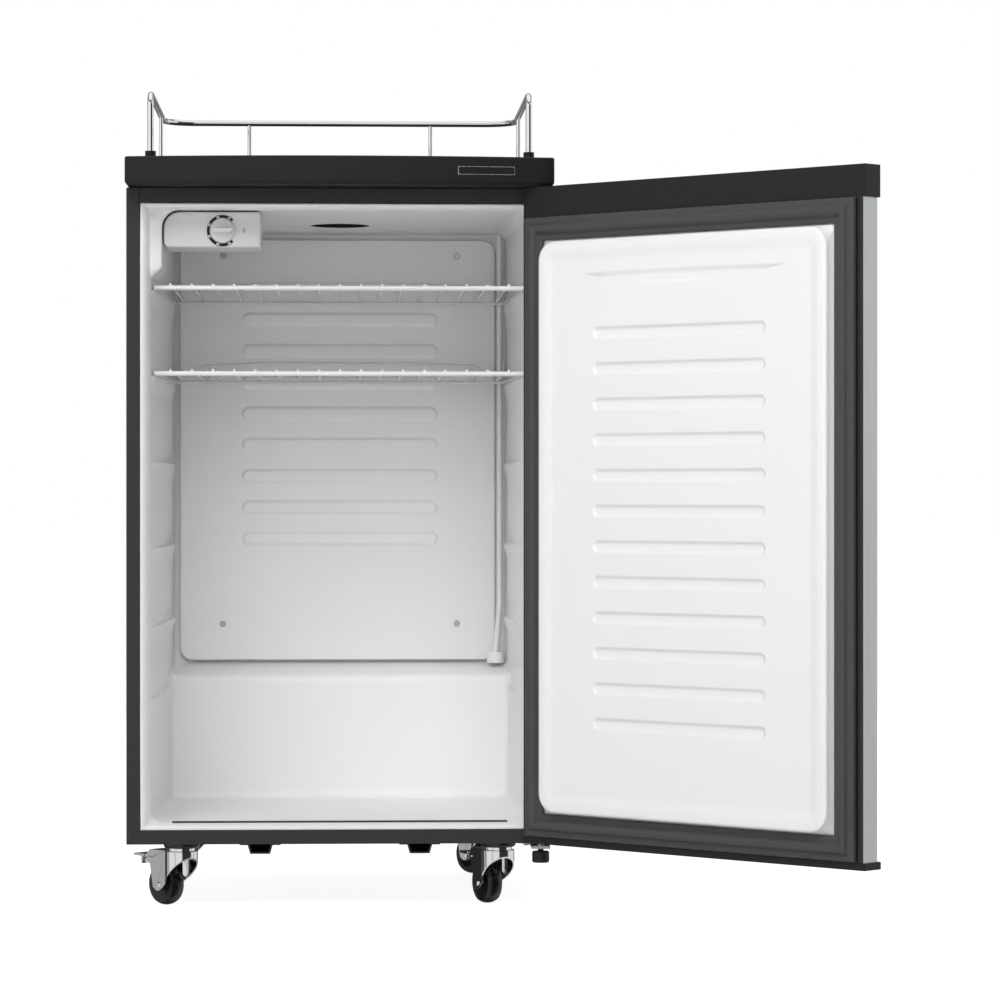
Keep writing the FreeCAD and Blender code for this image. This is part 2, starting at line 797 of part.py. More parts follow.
def build_door():
    skin, back = S.panel_skin, S.door_half
    low, high = S.door_base + S.trim_high, S.door_top - S.cap_high
    bows = {0: S.bow}
    pan = prism("pan_block", "XY_Plane", door_plan(S.pan_free, 0, back), high - low, start=low, bows=bows)
    inner_edge = [(-S.pan_free + skin, -S.door_half + skin), (S.hinge_inset - skin, -S.door_half + skin),
                  (S.hinge_inset - skin, back - skin), (-S.pan_free + skin, back - skin)]
    hollow = prism("pan_hollow", "XY_Plane", inner_edge, high - low + 2, start=low - 1, bows=bows)
    window = box("pan_window", (-S.pan_free + S.pan_return, 0, low - 1),
                 (S.hinge_inset - S.pan_return, back + 1, high + 1))
    door_node("door_outer_panel", cut("door_outer_panel", pan, hollow, window))

    inset = skin + S.fit_gap
    foam_edge = [(-S.pan_free + inset, -S.door_half + inset), (S.hinge_inset - inset, -S.door_half + inset),
                 (S.hinge_inset - inset, back - inset), (-S.pan_free + inset, back - inset)]
    slab = prism("foam_slab", "XY_Plane", foam_edge, high - low, start=low, bows=bows)
    slab_seat = cylinder("foam_low_seat", S.bush_radius + S.fit_gap, S.bush_high, (0, 0, low - S.overcut))
    free, near = -S.door_panel_free + S.pad_inset, -S.door_panel_hinge - S.pad_inset
    bottom, top, corner = S.door_panel_low + S.pad_inset, S.door_panel_high - S.pad_inset, S.pad_corner
    octagon = [(free + corner, bottom), (near - corner, bottom), (near, bottom + corner),
               (near, top - corner), (near - corner, top), (free + corner, top), (free, top - corner),
               (free, bottom + corner)]
    pad = prism("foam_pad", "XZ_Plane", octagon, S.door_panel_proud - S.panel_void + inset,
                start=back - inset, reversed_pad=True)
    door_node("door_foam", group("door_foam", cut("door_foam_slab", slab, slab_seat), pad))

    seat = S.bush_radius + S.close_gap
    cap = prism("cap_block", "XY_Plane", door_plan(S.trim_free, 1, back), S.cap_high, start=high, bows=bows)
    grip = cylinder("grip_scoop", S.grip_deep, S.grip_width, (-S.trim_free + 70, -S.door_half - S.bow - 4,
                                                            S.door_top - 6), axis="x")
    cap_hole = cylinder("cap_pin_seat", seat, S.cap_high, (0, 0, S.door_top - S.bush_high))
    door_node("door_top_cap", cut("door_top_cap", cap, grip, cap_hole))

    trim = prism("trim_block", "XY_Plane", door_plan(S.trim_free - 1, S.trim_proud, back), S.trim_high,
                 start=S.door_base, bows=bows)
    trim_hole = cylinder("trim_pin_seat", seat, S.trim_high + 2, (0, 0, S.door_base - 1))
    door_node("door_bottom_trim", cut("door_bottom_trim", trim, trim_hole))

    skin = S.liner_skin
    flange = box("liner_flange", (-S.pan_free + S.gasket_inset, back, S.gasket_low),
                 (S.gasket_hinge, back + skin, S.gasket_high))
    face = back + S.door_panel_proud
    raised = box("liner_raised", (-S.door_panel_free, back, S.door_panel_low),
                 (-S.door_panel_hinge, face, S.door_panel_high))
    hollow = box("liner_hollow", (-S.door_panel_free + skin, back - 1, S.door_panel_low + skin),
                 (-S.door_panel_hinge - skin, face - skin, S.door_panel_high - skin))
    door_node("door_liner", cut("door_liner", fuse("liner_block", flange, raised), hollow))

    def ring(name, inset, width, start, end):
        free, near = S.pan_free - S.gasket_inset - inset, S.gasket_hinge - inset
        low_z, high_z = S.gasket_low + inset, S.gasket_high - inset
        outer = box(name + "_outer", (-free, start, low_z), (near, end, high_z))
        inner = box(name + "_inner", (-free + width, start - 1, low_z + width),
                    (near - width, end + 1, high_z - width))
        return cut(name, outer, inner)

    seat_y = back + skin
    lip = ring("gasket_flat", 0, S.gasket_width, seat_y, seat_y + S.gasket_lip)
    crest = ring("gasket_crest", S.crest_start, S.crest_width, seat_y + S.gasket_lip - 1,
                 seat_y + S.gasket_proud)
    door_node("door_gasket", fuse("door_gasket", lip, crest))

    profile = [(S.pin_radius + S.running_gap, 0), (S.bush_radius, 0), (S.bush_radius, S.bush_high),
               (S.pin_radius + S.running_gap, S.bush_high)]
    bushes = [turned("bush_low", profile, (0, 0, S.door_base)),
              turned("bush_high", profile, (0, 0, S.door_top - S.bush_high))]
    door_node("door_hinge_bushes", group("door_hinge_bushes", *bushes))


def bracket_screws(near, far):
    return [(x, y) for x in (S.hinge_screw_left, S.hinge_screw_right) for y in (near, far)]


def bracket(label, front, back, low, spots):
    """A hinge plate screwed to the body, with a tongue that reaches forward to the pin."""
    thick, over = S.bracket_thick, S.overcut
    plate = box(label + "_plate", (S.bracket_left, front, low), (S.bracket_right, back, low + thick))
    tongue = box(label + "_tongue", (hinge_x - S.tongue_half, -S.tongue_front, low),
                 (hinge_x + S.tongue_half, front + over, low + thick))
    tools = [cylinder(f"{label}_screw_{i}", S.hinge_screw + S.fit_gap, thick + over * 2, (x, y, low - over))
             for i, (x, y) in enumerate(spots)]
    tools.append(cylinder(label + "_pin_hole", S.pin_radius, thick + over * 2,
                          (hinge_x, hinge_y, low - over)))
    node(label, cut(label, fuse(label + "_blank", plate, tongue), *tools))


def countersunk(name, at, up):
    """A flat screw head lying on a plate, its narrow end away from it."""
    wide, narrow, high, edge = S.hinge_head, S.hinge_screw, S.hinge_head_high, S.hinge_head_high * 0.4
    if up:
        profile = [(0, 0), (wide, 0), (wide, edge), (narrow, high), (0, high)]
    else:
        profile = [(0, -high), (narrow, -high), (wide, -edge), (wide, 0), (0, 0)]
    return turned(name, profile, at)


def build_hinges():
    thick, low = S.bracket_thick, S.body_base - S.bracket_gap - S.bracket_thick
    low_spots = bracket_screws(S.lower_screw_near, S.lower_screw_far)
    bracket("lower_hinge_bracket", S.lower_plate_front, S.lower_plate_back, low, low_spots)
    upper = S.cover_base + S.cover_skin + S.bracket_gap
    high_spots = bracket_screws(S.upper_screw_near, S.upper_screw_far)
    bracket("upper_hinge_bracket", -S.upper_plate_front, S.upper_plate_back, upper, high_spots)

    radius = S.pin_radius - S.close_gap / 2
    low_pin = cylinder("pin_low", radius, S.door_base + S.bush_high - low - S.overcut,
                       (hinge_x, hinge_y, low))
    start = S.door_top - S.bush_high + S.overcut
    high_pin = cylinder("pin_high", radius, upper + thick - start, (hinge_x, hinge_y, start))
    node("hinge_pins", group("hinge_pins", low_pin, high_pin))

    heads = [countersunk(f"low_head_{i}", (x, y, low - S.close_gap), False)
             for i, (x, y) in enumerate(low_spots)]
    heads += [countersunk(f"high_head_{i}", (x, y, upper + thick + S.close_gap), True)
              for i, (x, y) in enumerate(high_spots)]
    node("hinge_screws", group("hinge_screws", *heads))

    rise = low - S.foot_base - S.running_gap
    rim, top, edge = S.foot_radius, S.foot_high, S.foot_edge
    profile = [(0, 0), (rim - edge, 0), (rim, edge), (rim, top - edge), (rim - edge, top), (S.foot_stud, top),
               (S.foot_stud, rise), (0, rise)]
    node("hinge_leveling_foot", turned("hinge_leveling_foot", profile, (hinge_x, hinge_y, S.foot_base)))


# ---- inside fittings ----


def build_evaporator():
    back = S.plate_back - S.running_gap
    front = back - S.plate_thick
    parts = [box("plate_sheet", (-S.plate_left, front, S.plate_low), (S.plate_right, back, S.plate_high))]
    for i in range(RIBS):
        low = S.rib_first - S.rib_pitch * i
        parts.append(box(f"plate_rib_{i}", (-S.rib_half, front - S.rib_proud, low),
                         (S.rib_half, front + S.overcut, low + S.rib_high)))
    holes = [cylinder(f"plate_hole_{i}", S.plate_hole, S.plate_thick + S.overcut * 2,
                      (x, front - S.overcut, z), axis="y") for i, (x, z) in enumerate(plate_screw_spots())]
    node("evaporator_plate", cut("evaporator_plate", fuse("plate_ribbed", *parts), *holes))

    shank, seat, top = S.plate_screw_shank, S.plate_thick + S.close_gap, S.plate_screw_head
    head = [(0, 0), (shank, 0), (shank, seat), (S.plate_screw_head, seat), (S.plate_head_top, top), (0, top)]
    screws = []
    for i, (x, z) in enumerate(plate_screw_spots()):
        screw = turned(f"plate_screw_{i}", head, (x, back, z), axis="y")
        screw.Placement.Rotation = Rotation(Vector(1, 0, 0), 90)
        screws.append(screw)
    node("evaporator_screws", group("evaporator_screws", *screws))


def build_drain():
    """The condensate tube runs down the rear corner and leans over to its collar on the step."""
    side, depth, foot = S.drain_across, S.drain_back, S.step_top + S.step_rise
    top, lean = S.ceiling - S.overcut * 2, foot + S.drain_lean
    across, back, high = S.collar_across, S.collar_back, S.drain_collar_high
    tube = pipe([(side, depth, top), (side, depth, lean), (across, back, foot + high), (across, back, foot)],
                float(S.drain_bend), S.drain_radius)
    collar = rod((across, back, foot), (across, back, foot + high), S.drain_collar)
    node("drain_tube", shape_object("drain_tube", tube.fuse(collar).removeSplitter()))


def build_thermostat():
    left, right, low = -S.housing_left, -S.housing_right, S.housing_low
    front, back = S.housing_front, S.housing_front + S.housing_deep
    top, skin, over = S.ceiling - S.housing_top_gap, S.housing_skin, S.overcut
    axis, level = -S.knob_across, S.knob_level
    shell = box("housing_block", (left, front, low), (right, back, top))
    hollow = box("housing_hollow", (left + skin, front + skin, low + skin),
                 (right - skin, back - skin, top + over))
    bore = cylinder("housing_bore", S.shaft_radius + S.running_gap, skin + over * 2,
                    (axis, front - over, level), axis="y")
    node("thermostat_housing", cut("thermostat_housing", shell, hollow, bore))
    near = front + S.switch_front
    body = box("switch_body", (axis - S.switch_half, near, low + S.switch_low),
               (axis + S.switch_half, near + S.switch_deep, low + S.switch_low + S.switch_high))
    clear = cylinder("switch_bore", S.shaft_radius + S.running_gap, S.shaft_reach - S.switch_front,
                     (axis, near - over, level), axis="y")
    node("thermostat_body", cut("thermostat_body", body, clear))

    deep, radius, thick = S.knob_deep, S.knob_radius, S.knob_skirt
    skirt = cylinder("knob_skirt", radius, thick, (0, 0, 0), axis="y")
    boss = cylinder("knob_boss", radius - S.knob_grip, deep - thick + over, (0, -deep + thick, 0), axis="y")
    bar = box("knob_bar", (-radius + S.knob_grip / 2, -deep, -S.knob_grip),
              (radius - S.knob_grip / 2, 0, S.knob_grip))
    shaft = cylinder("knob_shaft", S.shaft_radius, S.shaft_reach - over * 2, (0, over * 2, 0), axis="y")
    knob = fuse("thermostat_knob", skirt, boss, bar, shaft)
    node("thermostat_knob", place(knob, (axis, front - thick - S.knob_gap, level)))


def build_shelf(label, level):
    """A wire deck, narrower at the back, with a raised guard along its rear edge."""
    half, rear_half, front, back = S.shelf_half, S.shelf_rear_half, S.shelf_front, S.shelf_back
    lift = S.front_wire + S.cross_wire - S.cross_sink
    deck = rod((-half, front, 0), (half, front, 0), S.front_wire)
    deck = deck.fuse(rod((-rear_half, back, 0), (rear_half, back, 0), S.rear_wire))
    inset, down = S.side_wire_inset, -S.side_wire_drop
    for sign in (-1, 1):
        start, end = ((half - inset) * sign, front, down), ((rear_half - inset) * sign, back, down)
        deck = deck.fuse(rod(start, end, S.side_wire))
    over = S.cross_overhang
    for i in range(CROSS_WIRES):
        across = S.cross_pitch * (i - CROSS_WIRES // 2)
        start, end = (across, front - over, lift), (across, back + S.rear_wire, lift - S.overcut)
        deck = deck.fuse(rod(start, end, S.cross_wire))
    side, depth = S.guard_half, back - S.guard_inset
    foot, low, high, rise = lift + S.cross_wire * 2 + S.fit_gap, S.guard_low, S.guard_high, S.guard_rise
    guard = pipe([(-side, depth, foot), (-side, depth, low), (-rise, depth, high), (rise, depth, high),
                  (side, depth, low), (side, depth, foot)], float(S.guard_bend), S.guard_wire)
    pieces = Part.Compound([deck.removeSplitter(), guard])
    node(label, shape_object(label, pieces, (0, 0, level)))


# ---- casters ----


def build_horn():
    """Folded steel horn: round front, two side plates down to the axle, front edge straight to the brow."""
    top, skin, half, tip, over = S.horn_top, S.horn_skin, S.horn_half, S.caster_trail, S.overcut
    outer = fuse("horn_plan", cylinder("horn_round", S.horn_radius, top, (0, 0, 0)),
                 box("horn_sides", (-half, 0, 0), (half, S.horn_back + over * 2, top)))
    inner = fuse("horn_room", cylinder("horn_hollow", S.horn_radius - skin, top - skin, (0, 0, 0)),
                 box("horn_gap", (-half + skin, 0, 0), (half - skin, S.horn_back + over * 6, top - skin)))
    front = -S.horn_radius - over * 2
    rear, waist = S.horn_back, S.horn_back - S.ear_cut
    toe_side = S.horn_toe + S.toe_rise
    side_view = [(front, S.horn_brow), (tip - S.toe_half, toe_side), (tip - S.toe_flat, S.horn_toe),
                 (tip + S.toe_flat, S.horn_toe), (tip + S.toe_half, toe_side), (waist, S.horn_waist),
                 (rear, S.horn_ear_low), (rear, S.horn_ear), (waist, top), (front, top)]
    silhouette = prism("horn_side_view", "YZ_Plane", side_view, half * 4, start=-half * 2)
    shell = common("horn_shell", cut("horn_skin_block", outer, inner), silhouette)
    race = cylinder("horn_race", S.race_radius, S.cup_base - top - S.fit_gap, (0, 0, top))
    across = (half * 4, -half * 2)
    holes = [cylinder("horn_axle_hole", S.axle_radius + S.close_gap, across[0],
                      (across[1], tip, S.wheel_radius), axis="x"),
             cylinder("horn_king_hole", S.king_radius + S.running_gap, S.cup_base - S.king_foot,
                      (0, 0, S.king_foot)),
             cylinder("horn_pedal_hole", S.pedal_pin + S.close_gap, across[0],
                      (across[1], S.pedal_back, S.pedal_level), axis="x")]
    return cut("horn", fuse("horn_blank", shell, race), *holes)


def build_wheel():
    """Axle, tyre and hub about the wheel's own axis, as (axle, tyre, hub)."""
    at = (0, S.caster_trail, S.wheel_radius)
    half, head, radius = S.horn_half + S.close_gap, S.axle_head, S.axle_radius
    reach = S.horn_half + S.axle_head_high
    axle = turned("axle", [(0, -reach), (head, -reach), (head, -half), (radius, -half), (radius, half),
                           (head, half), (head, reach), (0, reach)], at, axis="x")
    rim, wide, core, crown = S.wheel_radius, S.wheel_half, S.hub_radius, S.tyre_crown
    edge = S.overcut
    tyre = turned("tyre", [(core, -wide + edge), (rim - crown, -wide), (rim - crown, wide),
                           (core, wide - edge)], at, axis="x", bows={1: crown})
    bore, boss, web, seat = radius + S.running_gap, S.hub_boss, S.hub_web, core - S.close_gap
    hub = turned("hub", [(bore, -wide - edge), (boss, -wide - edge), (boss, -web), (seat, -wide + web / 2),
                         (seat, wide - web / 2), (boss, web), (boss, wide + edge), (bore, wide + edge)],
                 at, axis="x")
    return axle, tyre, hub


def build_pedal():
    """Brake lever with its foot pad, hook and shoe, as (pedal, pin)."""
    back, level, tip, thick = S.pedal_back, S.pedal_level, S.pedal_tip, S.pedal_thick
    room = S.horn_half - S.horn_skin - S.running_gap * 10
    low = level + S.overcut
    high = low + thick
    boss = cylinder("pedal_boss", S.pedal_boss, room * 2, (-room, back, level), axis="x")
    lever = [(back, level - S.overcut), (back + S.hook_half, low), (tip, low), (tip, high), (back, high)]
    tongue = prism("pedal_tongue", "YZ_Plane", lever, room * 2, start=-room)
    pad = box("pedal_pad", (-S.pedal_half, S.horn_back + S.pad_gap, low), (S.pedal_half, tip, high))
    hook_y = tip - S.hook_drop
    hook = box("pedal_hook", (-S.hook_half, hook_y, level - S.hook_drop), (S.hook_half, hook_y + thick, high))
    under = level - S.shoe_drop
    cam = [(back - thick, level), (back - S.shoe_heel, under), (back + S.shoe_toe, under),
           (back + S.shoe_root, level)]
    shoe_half = room - S.shoe_inset
    shoe = prism("pedal_shoe", "YZ_Plane", cam, shoe_half * 2, start=-shoe_half)
    bore = cylinder("pedal_bore", S.pedal_pin + S.running_gap, room * 3, (-room * 1.5, back, level), axis="x")
    pin_half = S.horn_half + S.overcut
    pin = cylinder("pedal_pin", S.pedal_pin, pin_half * 2, (-pin_half, back, level), axis="x")
    return cut("pedal", fuse("pedal_blank", boss, tongue, pad, hook, shoe), bore), pin


def caster_cup(name, at):
    """Mounting cup under the base with the king pin that the horn turns on."""
    radius, king, edge = S.cup_radius, S.king_radius, S.cup_edge
    top, under = S.body_base - S.running_gap, S.horn_top - S.horn_skin - S.fit_gap
    profile = [(0, S.king_foot), (S.king_head, S.king_foot), (S.king_head, under), (king, under),
               (king, S.cup_base), (radius - edge, S.cup_base), (radius, S.cup_base + edge), (radius, top),
               (0, top)]
    return turned(name, profile, at)


def build_casters():
    """Each caster is drawn about its swivel axis, wheel trailing towards +Y, and turned in place."""
    axle, tyre, hub = build_wheel()
    pedal, pin = build_pedal()
    parts = {"fork": build_horn(), "axle": axle, "tyre": tyre, "hub": hub}
    braked = {**parts, "axle": group("braked_axle", axle, pin), "pedal": pedal}
    corners = (("front_left", -1, S.caster_front, S.swivel_front_left),
               ("front_right", 1, S.caster_front, S.swivel_front_right),
               ("rear_left", -1, S.caster_rear, S.swivel_rear_left),
               ("rear_right", 1, S.caster_rear, S.swivel_rear_right))
    cups = []
    for corner, side, depth, turn in corners:
        at = (S.caster_side * side, depth, 0)
        for name, source in (braked if corner.startswith("front") else parts).items():
            label = f"caster_{corner}_{name}"
            node(label, place(group(label, source), at, turn=turn))
        cups.append(caster_cup(f"caster_cup_{corner}", at))
    node("caster_mounts", group("caster_mounts", *cups))


# ---- underside and machinery ----


def build_underside():
    """Two hat-section rails run from front to back under the base."""
    rails = []
    top, deep, skin, draft = S.body_base - S.running_gap, S.hat_deep, S.hat_skin, S.hat_draft
    wide, half = S.hat_flange, S.hat_half
    inner = half - skin
    for sign, mark in ((-1, "left"), (1, "right")):
        points = [(-wide, top), (-wide, top - skin), (-half, top - skin), (-half + draft, top - deep),
                  (half - draft, top - deep), (half, top - skin), (wide, top - skin), (wide, top),
                  (inner, top), (inner - draft, top - deep + skin), (-inner + draft, top - deep + skin),
                  (-inner, top)]
        rail = prism(f"hat_{mark}", "XZ_Plane", points, S.body_depth - S.hat_start * 2, start=S.hat_start,
                     reversed_pad=True)
        bind(rail, "Placement.Base.x", S.hat_middle * sign)
        rails.append(rail)
    node("base_crossrails", group("base_crossrails", *rails))


def build_compressor():
    """Domed compressor on rubber grommets, its tray behind the step, and the drip pan beside it."""
    low, high = S.compressor_low, S.compressor_high
    across, back, radius = S.compressor_across, S.compressor_back, S.compressor_radius
    tall = high - low
    dome = [(0, 0)] + [(radius - inset, rise) for inset, rise in SHELL_FOOT]
    dome += [(radius - inset, tall - drop) for inset, drop in SHELL_DOME] + [(0, tall)]
    shell = turned("compressor_shell", dome, (across, back, low))
    foot_low = low + S.foot_lift
    foot = box("compressor_foot", (across - S.foot_half, back - S.foot_deep_half, foot_low),
               (across + S.foot_half, back + S.foot_deep_half, foot_low + S.foot_thick))
    side = S.terminal_half
    cover = box("terminal_cover", (across - radius - side, back - side, low + S.terminal_low),
                (across - radius + side / 2, back + side, low + S.terminal_high))
    stub_x, stub_y = across + S.terminal_low, back + S.stub_deep
    stub_top = high - S.stub_drop
    stub = pipe([(stub_x, stub_y, high - S.terminal_low), (stub_x, stub_y, stub_top),
                 (across + S.foot_half, stub_y, stub_top)], float(S.stub_bend), S.stub_radius)
    body = fuse("compressor_body", shell, foot, cover, shape_object("compressor_stub", stub))
    bolts = [(across + S.bolt_across * sx, back + S.bolt_deep * sy) for sx in (-1, 1) for sy in (-1, 1)]
    bolt_holes = [cylinder(f"foot_hole_{i}", S.bolt_hole, S.foot_lift * 2, (x, y, low)) for i, (x, y) in
                  enumerate(bolts)]
    node("compressor", cut("compressor", body, *bolt_holes))

    tray_top = S.body_base + S.panel_skin + S.tray_skin + S.running_gap
    half, skin = S.tray_half, S.tray_skin
    tray = box("tray_plate", (-half, S.step_front + S.foam_wall + S.tray_gap, tray_top - skin),
               (half, S.tray_back, tray_top))
    lip = box("tray_lip", (-half, S.tray_back - skin, tray_top - skin),
              (half, S.tray_back, tray_top - skin + S.tray_lip))
    node("compressor_tray", fuse("compressor_tray", tray, lip))

    wide, waist, gap = S.grommet_radius, S.grommet_waist, S.running_gap * 4
    under = foot_low - tray_top - gap
    over = under + S.foot_thick + gap * 3
    grommet = [(0, 0), (wide, 0), (wide, under), (waist, under), (waist, over), (wide - 1, over),
               (wide - 1, over + S.foot_thick), (0, over + S.foot_thick)]
    mounts = [turned(f"grommet_{i}", grommet, (x, y, tray_top + S.running_gap))
              for i, (x, y) in enumerate(bolts)]
    node("compressor_mounts", group("compressor_mounts", *mounts))

    left, right, skin = -S.pan_left, -S.pan_right, S.pan_skin
    front, rear, floor = back - S.pan_front, back + S.pan_back, S.pan_low
    pan = box("pan_outer", (left, front, floor), (right, rear, S.pan_high))
    room = box("pan_inner", (left + skin, front + skin, floor + skin),
               (right - skin, rear - skin, S.pan_high + S.overcut))
    node("drip_pan", cut("drip_pan", pan, room))


def build_condenser():
    """Wire-and-tube coil on the back: one bent tube, upright wires on both faces, four wall straps."""
    half, depth, low, pitch = S.coil_half, S.coil_back, S.coil_low, S.coil_pitch
    points = []
    for i in range(COIL_PASSES):
        level = low + pitch * i
        ends = (half, -half) if i % 2 == 0 else (-half, half)
        points += [(ends[0], depth, level), (ends[1], depth, level)]
    coil = pipe(points, float(pitch / 2 - S.close_gap / 2), S.coil_tube)
    wires = []
    off, margin, over = S.coil_tube + S.coil_wire + S.close_gap, S.coil_margin, S.coil_overhang
    top = low + pitch * (COIL_PASSES - 1)
    for i in range(COIL_WIRES):
        across = -half + margin + (half - margin) * 2 / (COIL_WIRES - 1) * i
        face = depth + off * (1 if i % 2 else -1)
        wires.append(rod((across, face, low - over), (across, face, top + over), S.coil_wire))
    straps = []
    wide, thick = float(S.strap_width), float(S.strap_thick)
    start = float(S.body_depth + S.running_gap)
    deep = float(depth - S.body_depth - S.coil_tube - S.coil_wire - S.foot_thick / 15)
    for sign in (-1, 1):
        for level in (low + pitch * 1.5, top - pitch * 1.5):
            corner = Vector(sign * float(half - over) - wide / 2, start, float(level))
            straps.append(Part.makeBox(wide, deep, thick, corner))
    node("condenser_coil", shape_object("condenser_coil", Part.Compound([coil, *wires, *straps])))


def build_cord():
    """Mains cord looped on the back, ending in a two-blade plug."""
    back, side, plug_x = S.body_depth + S.cord_back, -S.cord_across, -S.plug_across
    level, high, low, plug_z = S.cord_level, S.cord_top, S.cord_bottom, S.plug_level
    turn = side - S.cord_loop
    loop = [(side, back - S.cord_back - S.plug_deep, level), (side, back, level), (side, back, high),
            (turn, back, high), (turn, back, low), (plug_x, back, low), (plug_x, back, plug_z + S.overcut)]
    cord = pipe(loop, float(S.cord_bend), S.cord_radius)
    wide, deep, high = float(S.plug_width), float(S.plug_deep), float(S.plug_high)
    corner = Vector(float(plug_x) - wide / 2, float(back) - deep / 2, float(plug_z))
    plug = Part.makeBox(wide, deep, high, corner)
    blades = []
    thin, wide_blade, long = float(S.blade_thick), float(S.blade_width), float(S.blade_long)
    for sign in (-1, 1):
        middle = float(plug_x) + sign * float(S.blade_pitch) / 2
        corner = Vector(middle - thin / 2, float(back) - wide_blade / 2, float(plug_z) + high - 1)
        blades.append(Part.makeBox(thin, wide_blade, long, corner))
    whole = cord.fuse([plug, *blades]).removeSplitter()
    node("power_cord", shape_object("power_cord", whole))


build_shell()
build_front_frame()
build_liner()
build_foam()
build_cover()
build_rail()
build_door()
build_hinges()
build_evaporator()
build_drain()
build_thermostat()
build_shelf("upper_shelf", S.upper_level)
build_shelf("lower_shelf", S.lower_level)
build_casters()
build_underside()
build_compressor()
build_condenser()
build_cord()

doc.recompute()

faults = [f"{item.Name}: {item.State}" for item in doc.Objects
          if {"Invalid", "Error"} & set(item.State)]
for label, item in nodes.items():
    if item.Shape.isNull() or not item.Shape.isValid() or not item.Shape.Solids:
        faults.append(f"{label}: no valid shape")
if faults:
    raise SystemExit("\n".join(faults))

os.makedirs("parts", exist_ok=True)
for label, item in nodes.items():
    item.Shape.exportStep(f"parts/{label}.step")
print(len(nodes), "nodes written")
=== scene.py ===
import json
import math

import bmesh
import bpy
from mathutils import Matrix, Vector


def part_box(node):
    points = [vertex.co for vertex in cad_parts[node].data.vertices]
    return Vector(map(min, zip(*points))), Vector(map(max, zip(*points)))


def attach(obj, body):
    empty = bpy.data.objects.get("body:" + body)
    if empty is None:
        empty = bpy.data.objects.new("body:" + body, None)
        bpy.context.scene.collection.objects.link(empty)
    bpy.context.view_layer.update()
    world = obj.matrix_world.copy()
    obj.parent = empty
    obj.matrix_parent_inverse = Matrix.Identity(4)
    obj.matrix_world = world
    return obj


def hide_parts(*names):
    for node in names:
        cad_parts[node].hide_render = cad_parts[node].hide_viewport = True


# A beer dispenser cabinet with its door open. Metres, in the frame's own axes: +X to the hinge side,
# +Y to the back, +Z up. Pieces of the door are drawn closed about the hinge axis and swung open by DOOR.

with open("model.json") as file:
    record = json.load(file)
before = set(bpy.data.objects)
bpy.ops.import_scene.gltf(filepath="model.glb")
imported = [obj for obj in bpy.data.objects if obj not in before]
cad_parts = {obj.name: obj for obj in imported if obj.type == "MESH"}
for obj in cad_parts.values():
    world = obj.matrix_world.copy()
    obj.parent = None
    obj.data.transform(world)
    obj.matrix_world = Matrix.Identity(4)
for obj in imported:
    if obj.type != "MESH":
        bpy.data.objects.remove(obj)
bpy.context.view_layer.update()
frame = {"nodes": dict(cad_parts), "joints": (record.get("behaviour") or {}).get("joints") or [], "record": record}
nodes = frame["nodes"]
joints = {joint["name"]: joint for joint in frame["joints"]}
slot_of = {row["node"]: row["material_slot"] for row in frame["record"]["subparts"]}

MM = 0.001
hinge = joints["door_hinge"]
DOOR = Matrix.Translation((hinge["pos_m"][0], hinge["pos_m"][1], 0.0)) @ Matrix.Rotation(
    -math.radians(hinge["range_deg"][0]), 4, "Z")


# ---- materials ----

NOISE_RANGE = (0.3, 0.7)
COAT_ROUGHNESS = 0.12
MASK_BLACK = (0.012, 0.012, 0.013, 1)
MASK_ROUGHNESS = 0.45
BAY_TOP = 300 * MM


def shader(name):
    """A new material with its node tree, principled shader and object coordinates."""
    made = bpy.data.materials.new(name)
    made.use_nodes = True
    tree = made.node_tree
    coords = tree.nodes.new("ShaderNodeTexCoord")
    return made, tree, tree.nodes["Principled BSDF"], coords.outputs["Object"]


def colours(sockets):
    """The colour sockets of a Mix node, whose value and vector sockets have the same names."""
    return [socket for socket in sockets if socket.type == "RGBA"]


def mixed(tree, share, first, second):
    """Two shaders blended by a share of the second."""
    mix = tree.nodes.new("ShaderNodeMixShader")
    tree.links.new(share, mix.inputs["Fac"])
    tree.links.new(first, mix.inputs[1])
    tree.links.new(second, mix.inputs[2])
    return mix.outputs["Shader"]


def noise(tree, coords, scale, stretch):
    """Noise in object space; stretch squeezes it along an axis to make a grain."""
    place = tree.nodes.new("ShaderNodeMapping")
    place.inputs["Scale"].default_value = stretch
    field = tree.nodes.new("ShaderNodeTexNoise")
    field.inputs["Scale"].default_value = scale
    field.inputs["Detail"].default_value = 3.0
    tree.links.new(coords, place.inputs["Vector"])
    tree.links.new(place.outputs["Vector"], field.inputs["Vector"])
    return field.outputs["Fac"]


def spread(tree, value, low, high):
    """Maps noise, which mostly stays within NOISE_RANGE, to a range."""
    remap = tree.nodes.new("ShaderNodeMapRange")
    remap.inputs["From Min"].default_value, remap.inputs["From Max"].default_value = NOISE_RANGE
    remap.inputs["To Min"].default_value = low
    remap.inputs["To Max"].default_value = high
    tree.links.new(value, remap.inputs["Value"])
    return remap.outputs["Result"]


def tinted(tree, value, color, drift):
    """The base colour, darkened and lightened a little by a slow noise."""
    mix = tree.nodes.new("ShaderNodeMix")
    mix.data_type = "RGBA"
    for socket, share in zip(colours(mix.inputs), (1 - drift, 1 + drift)):
        socket.default_value = [min(1.0, c * share) for c in color] + [1.0]
    tree.links.new(value, mix.inputs["Factor"])
    return colours(mix.outputs)[0]


def relief(tree, bsdf, height, depth):
    """Bump of the given depth in metres."""
    bump = tree.nodes.new("ShaderNodeBump")
    bump.inputs["Distance"].default_value = depth
    bump.inputs["Strength"].default_value = 1.0
    tree.links.new(height, bump.inputs["Height"])
    tree.links.new(bump.outputs["Normal"], bsdf.inputs["Normal"])


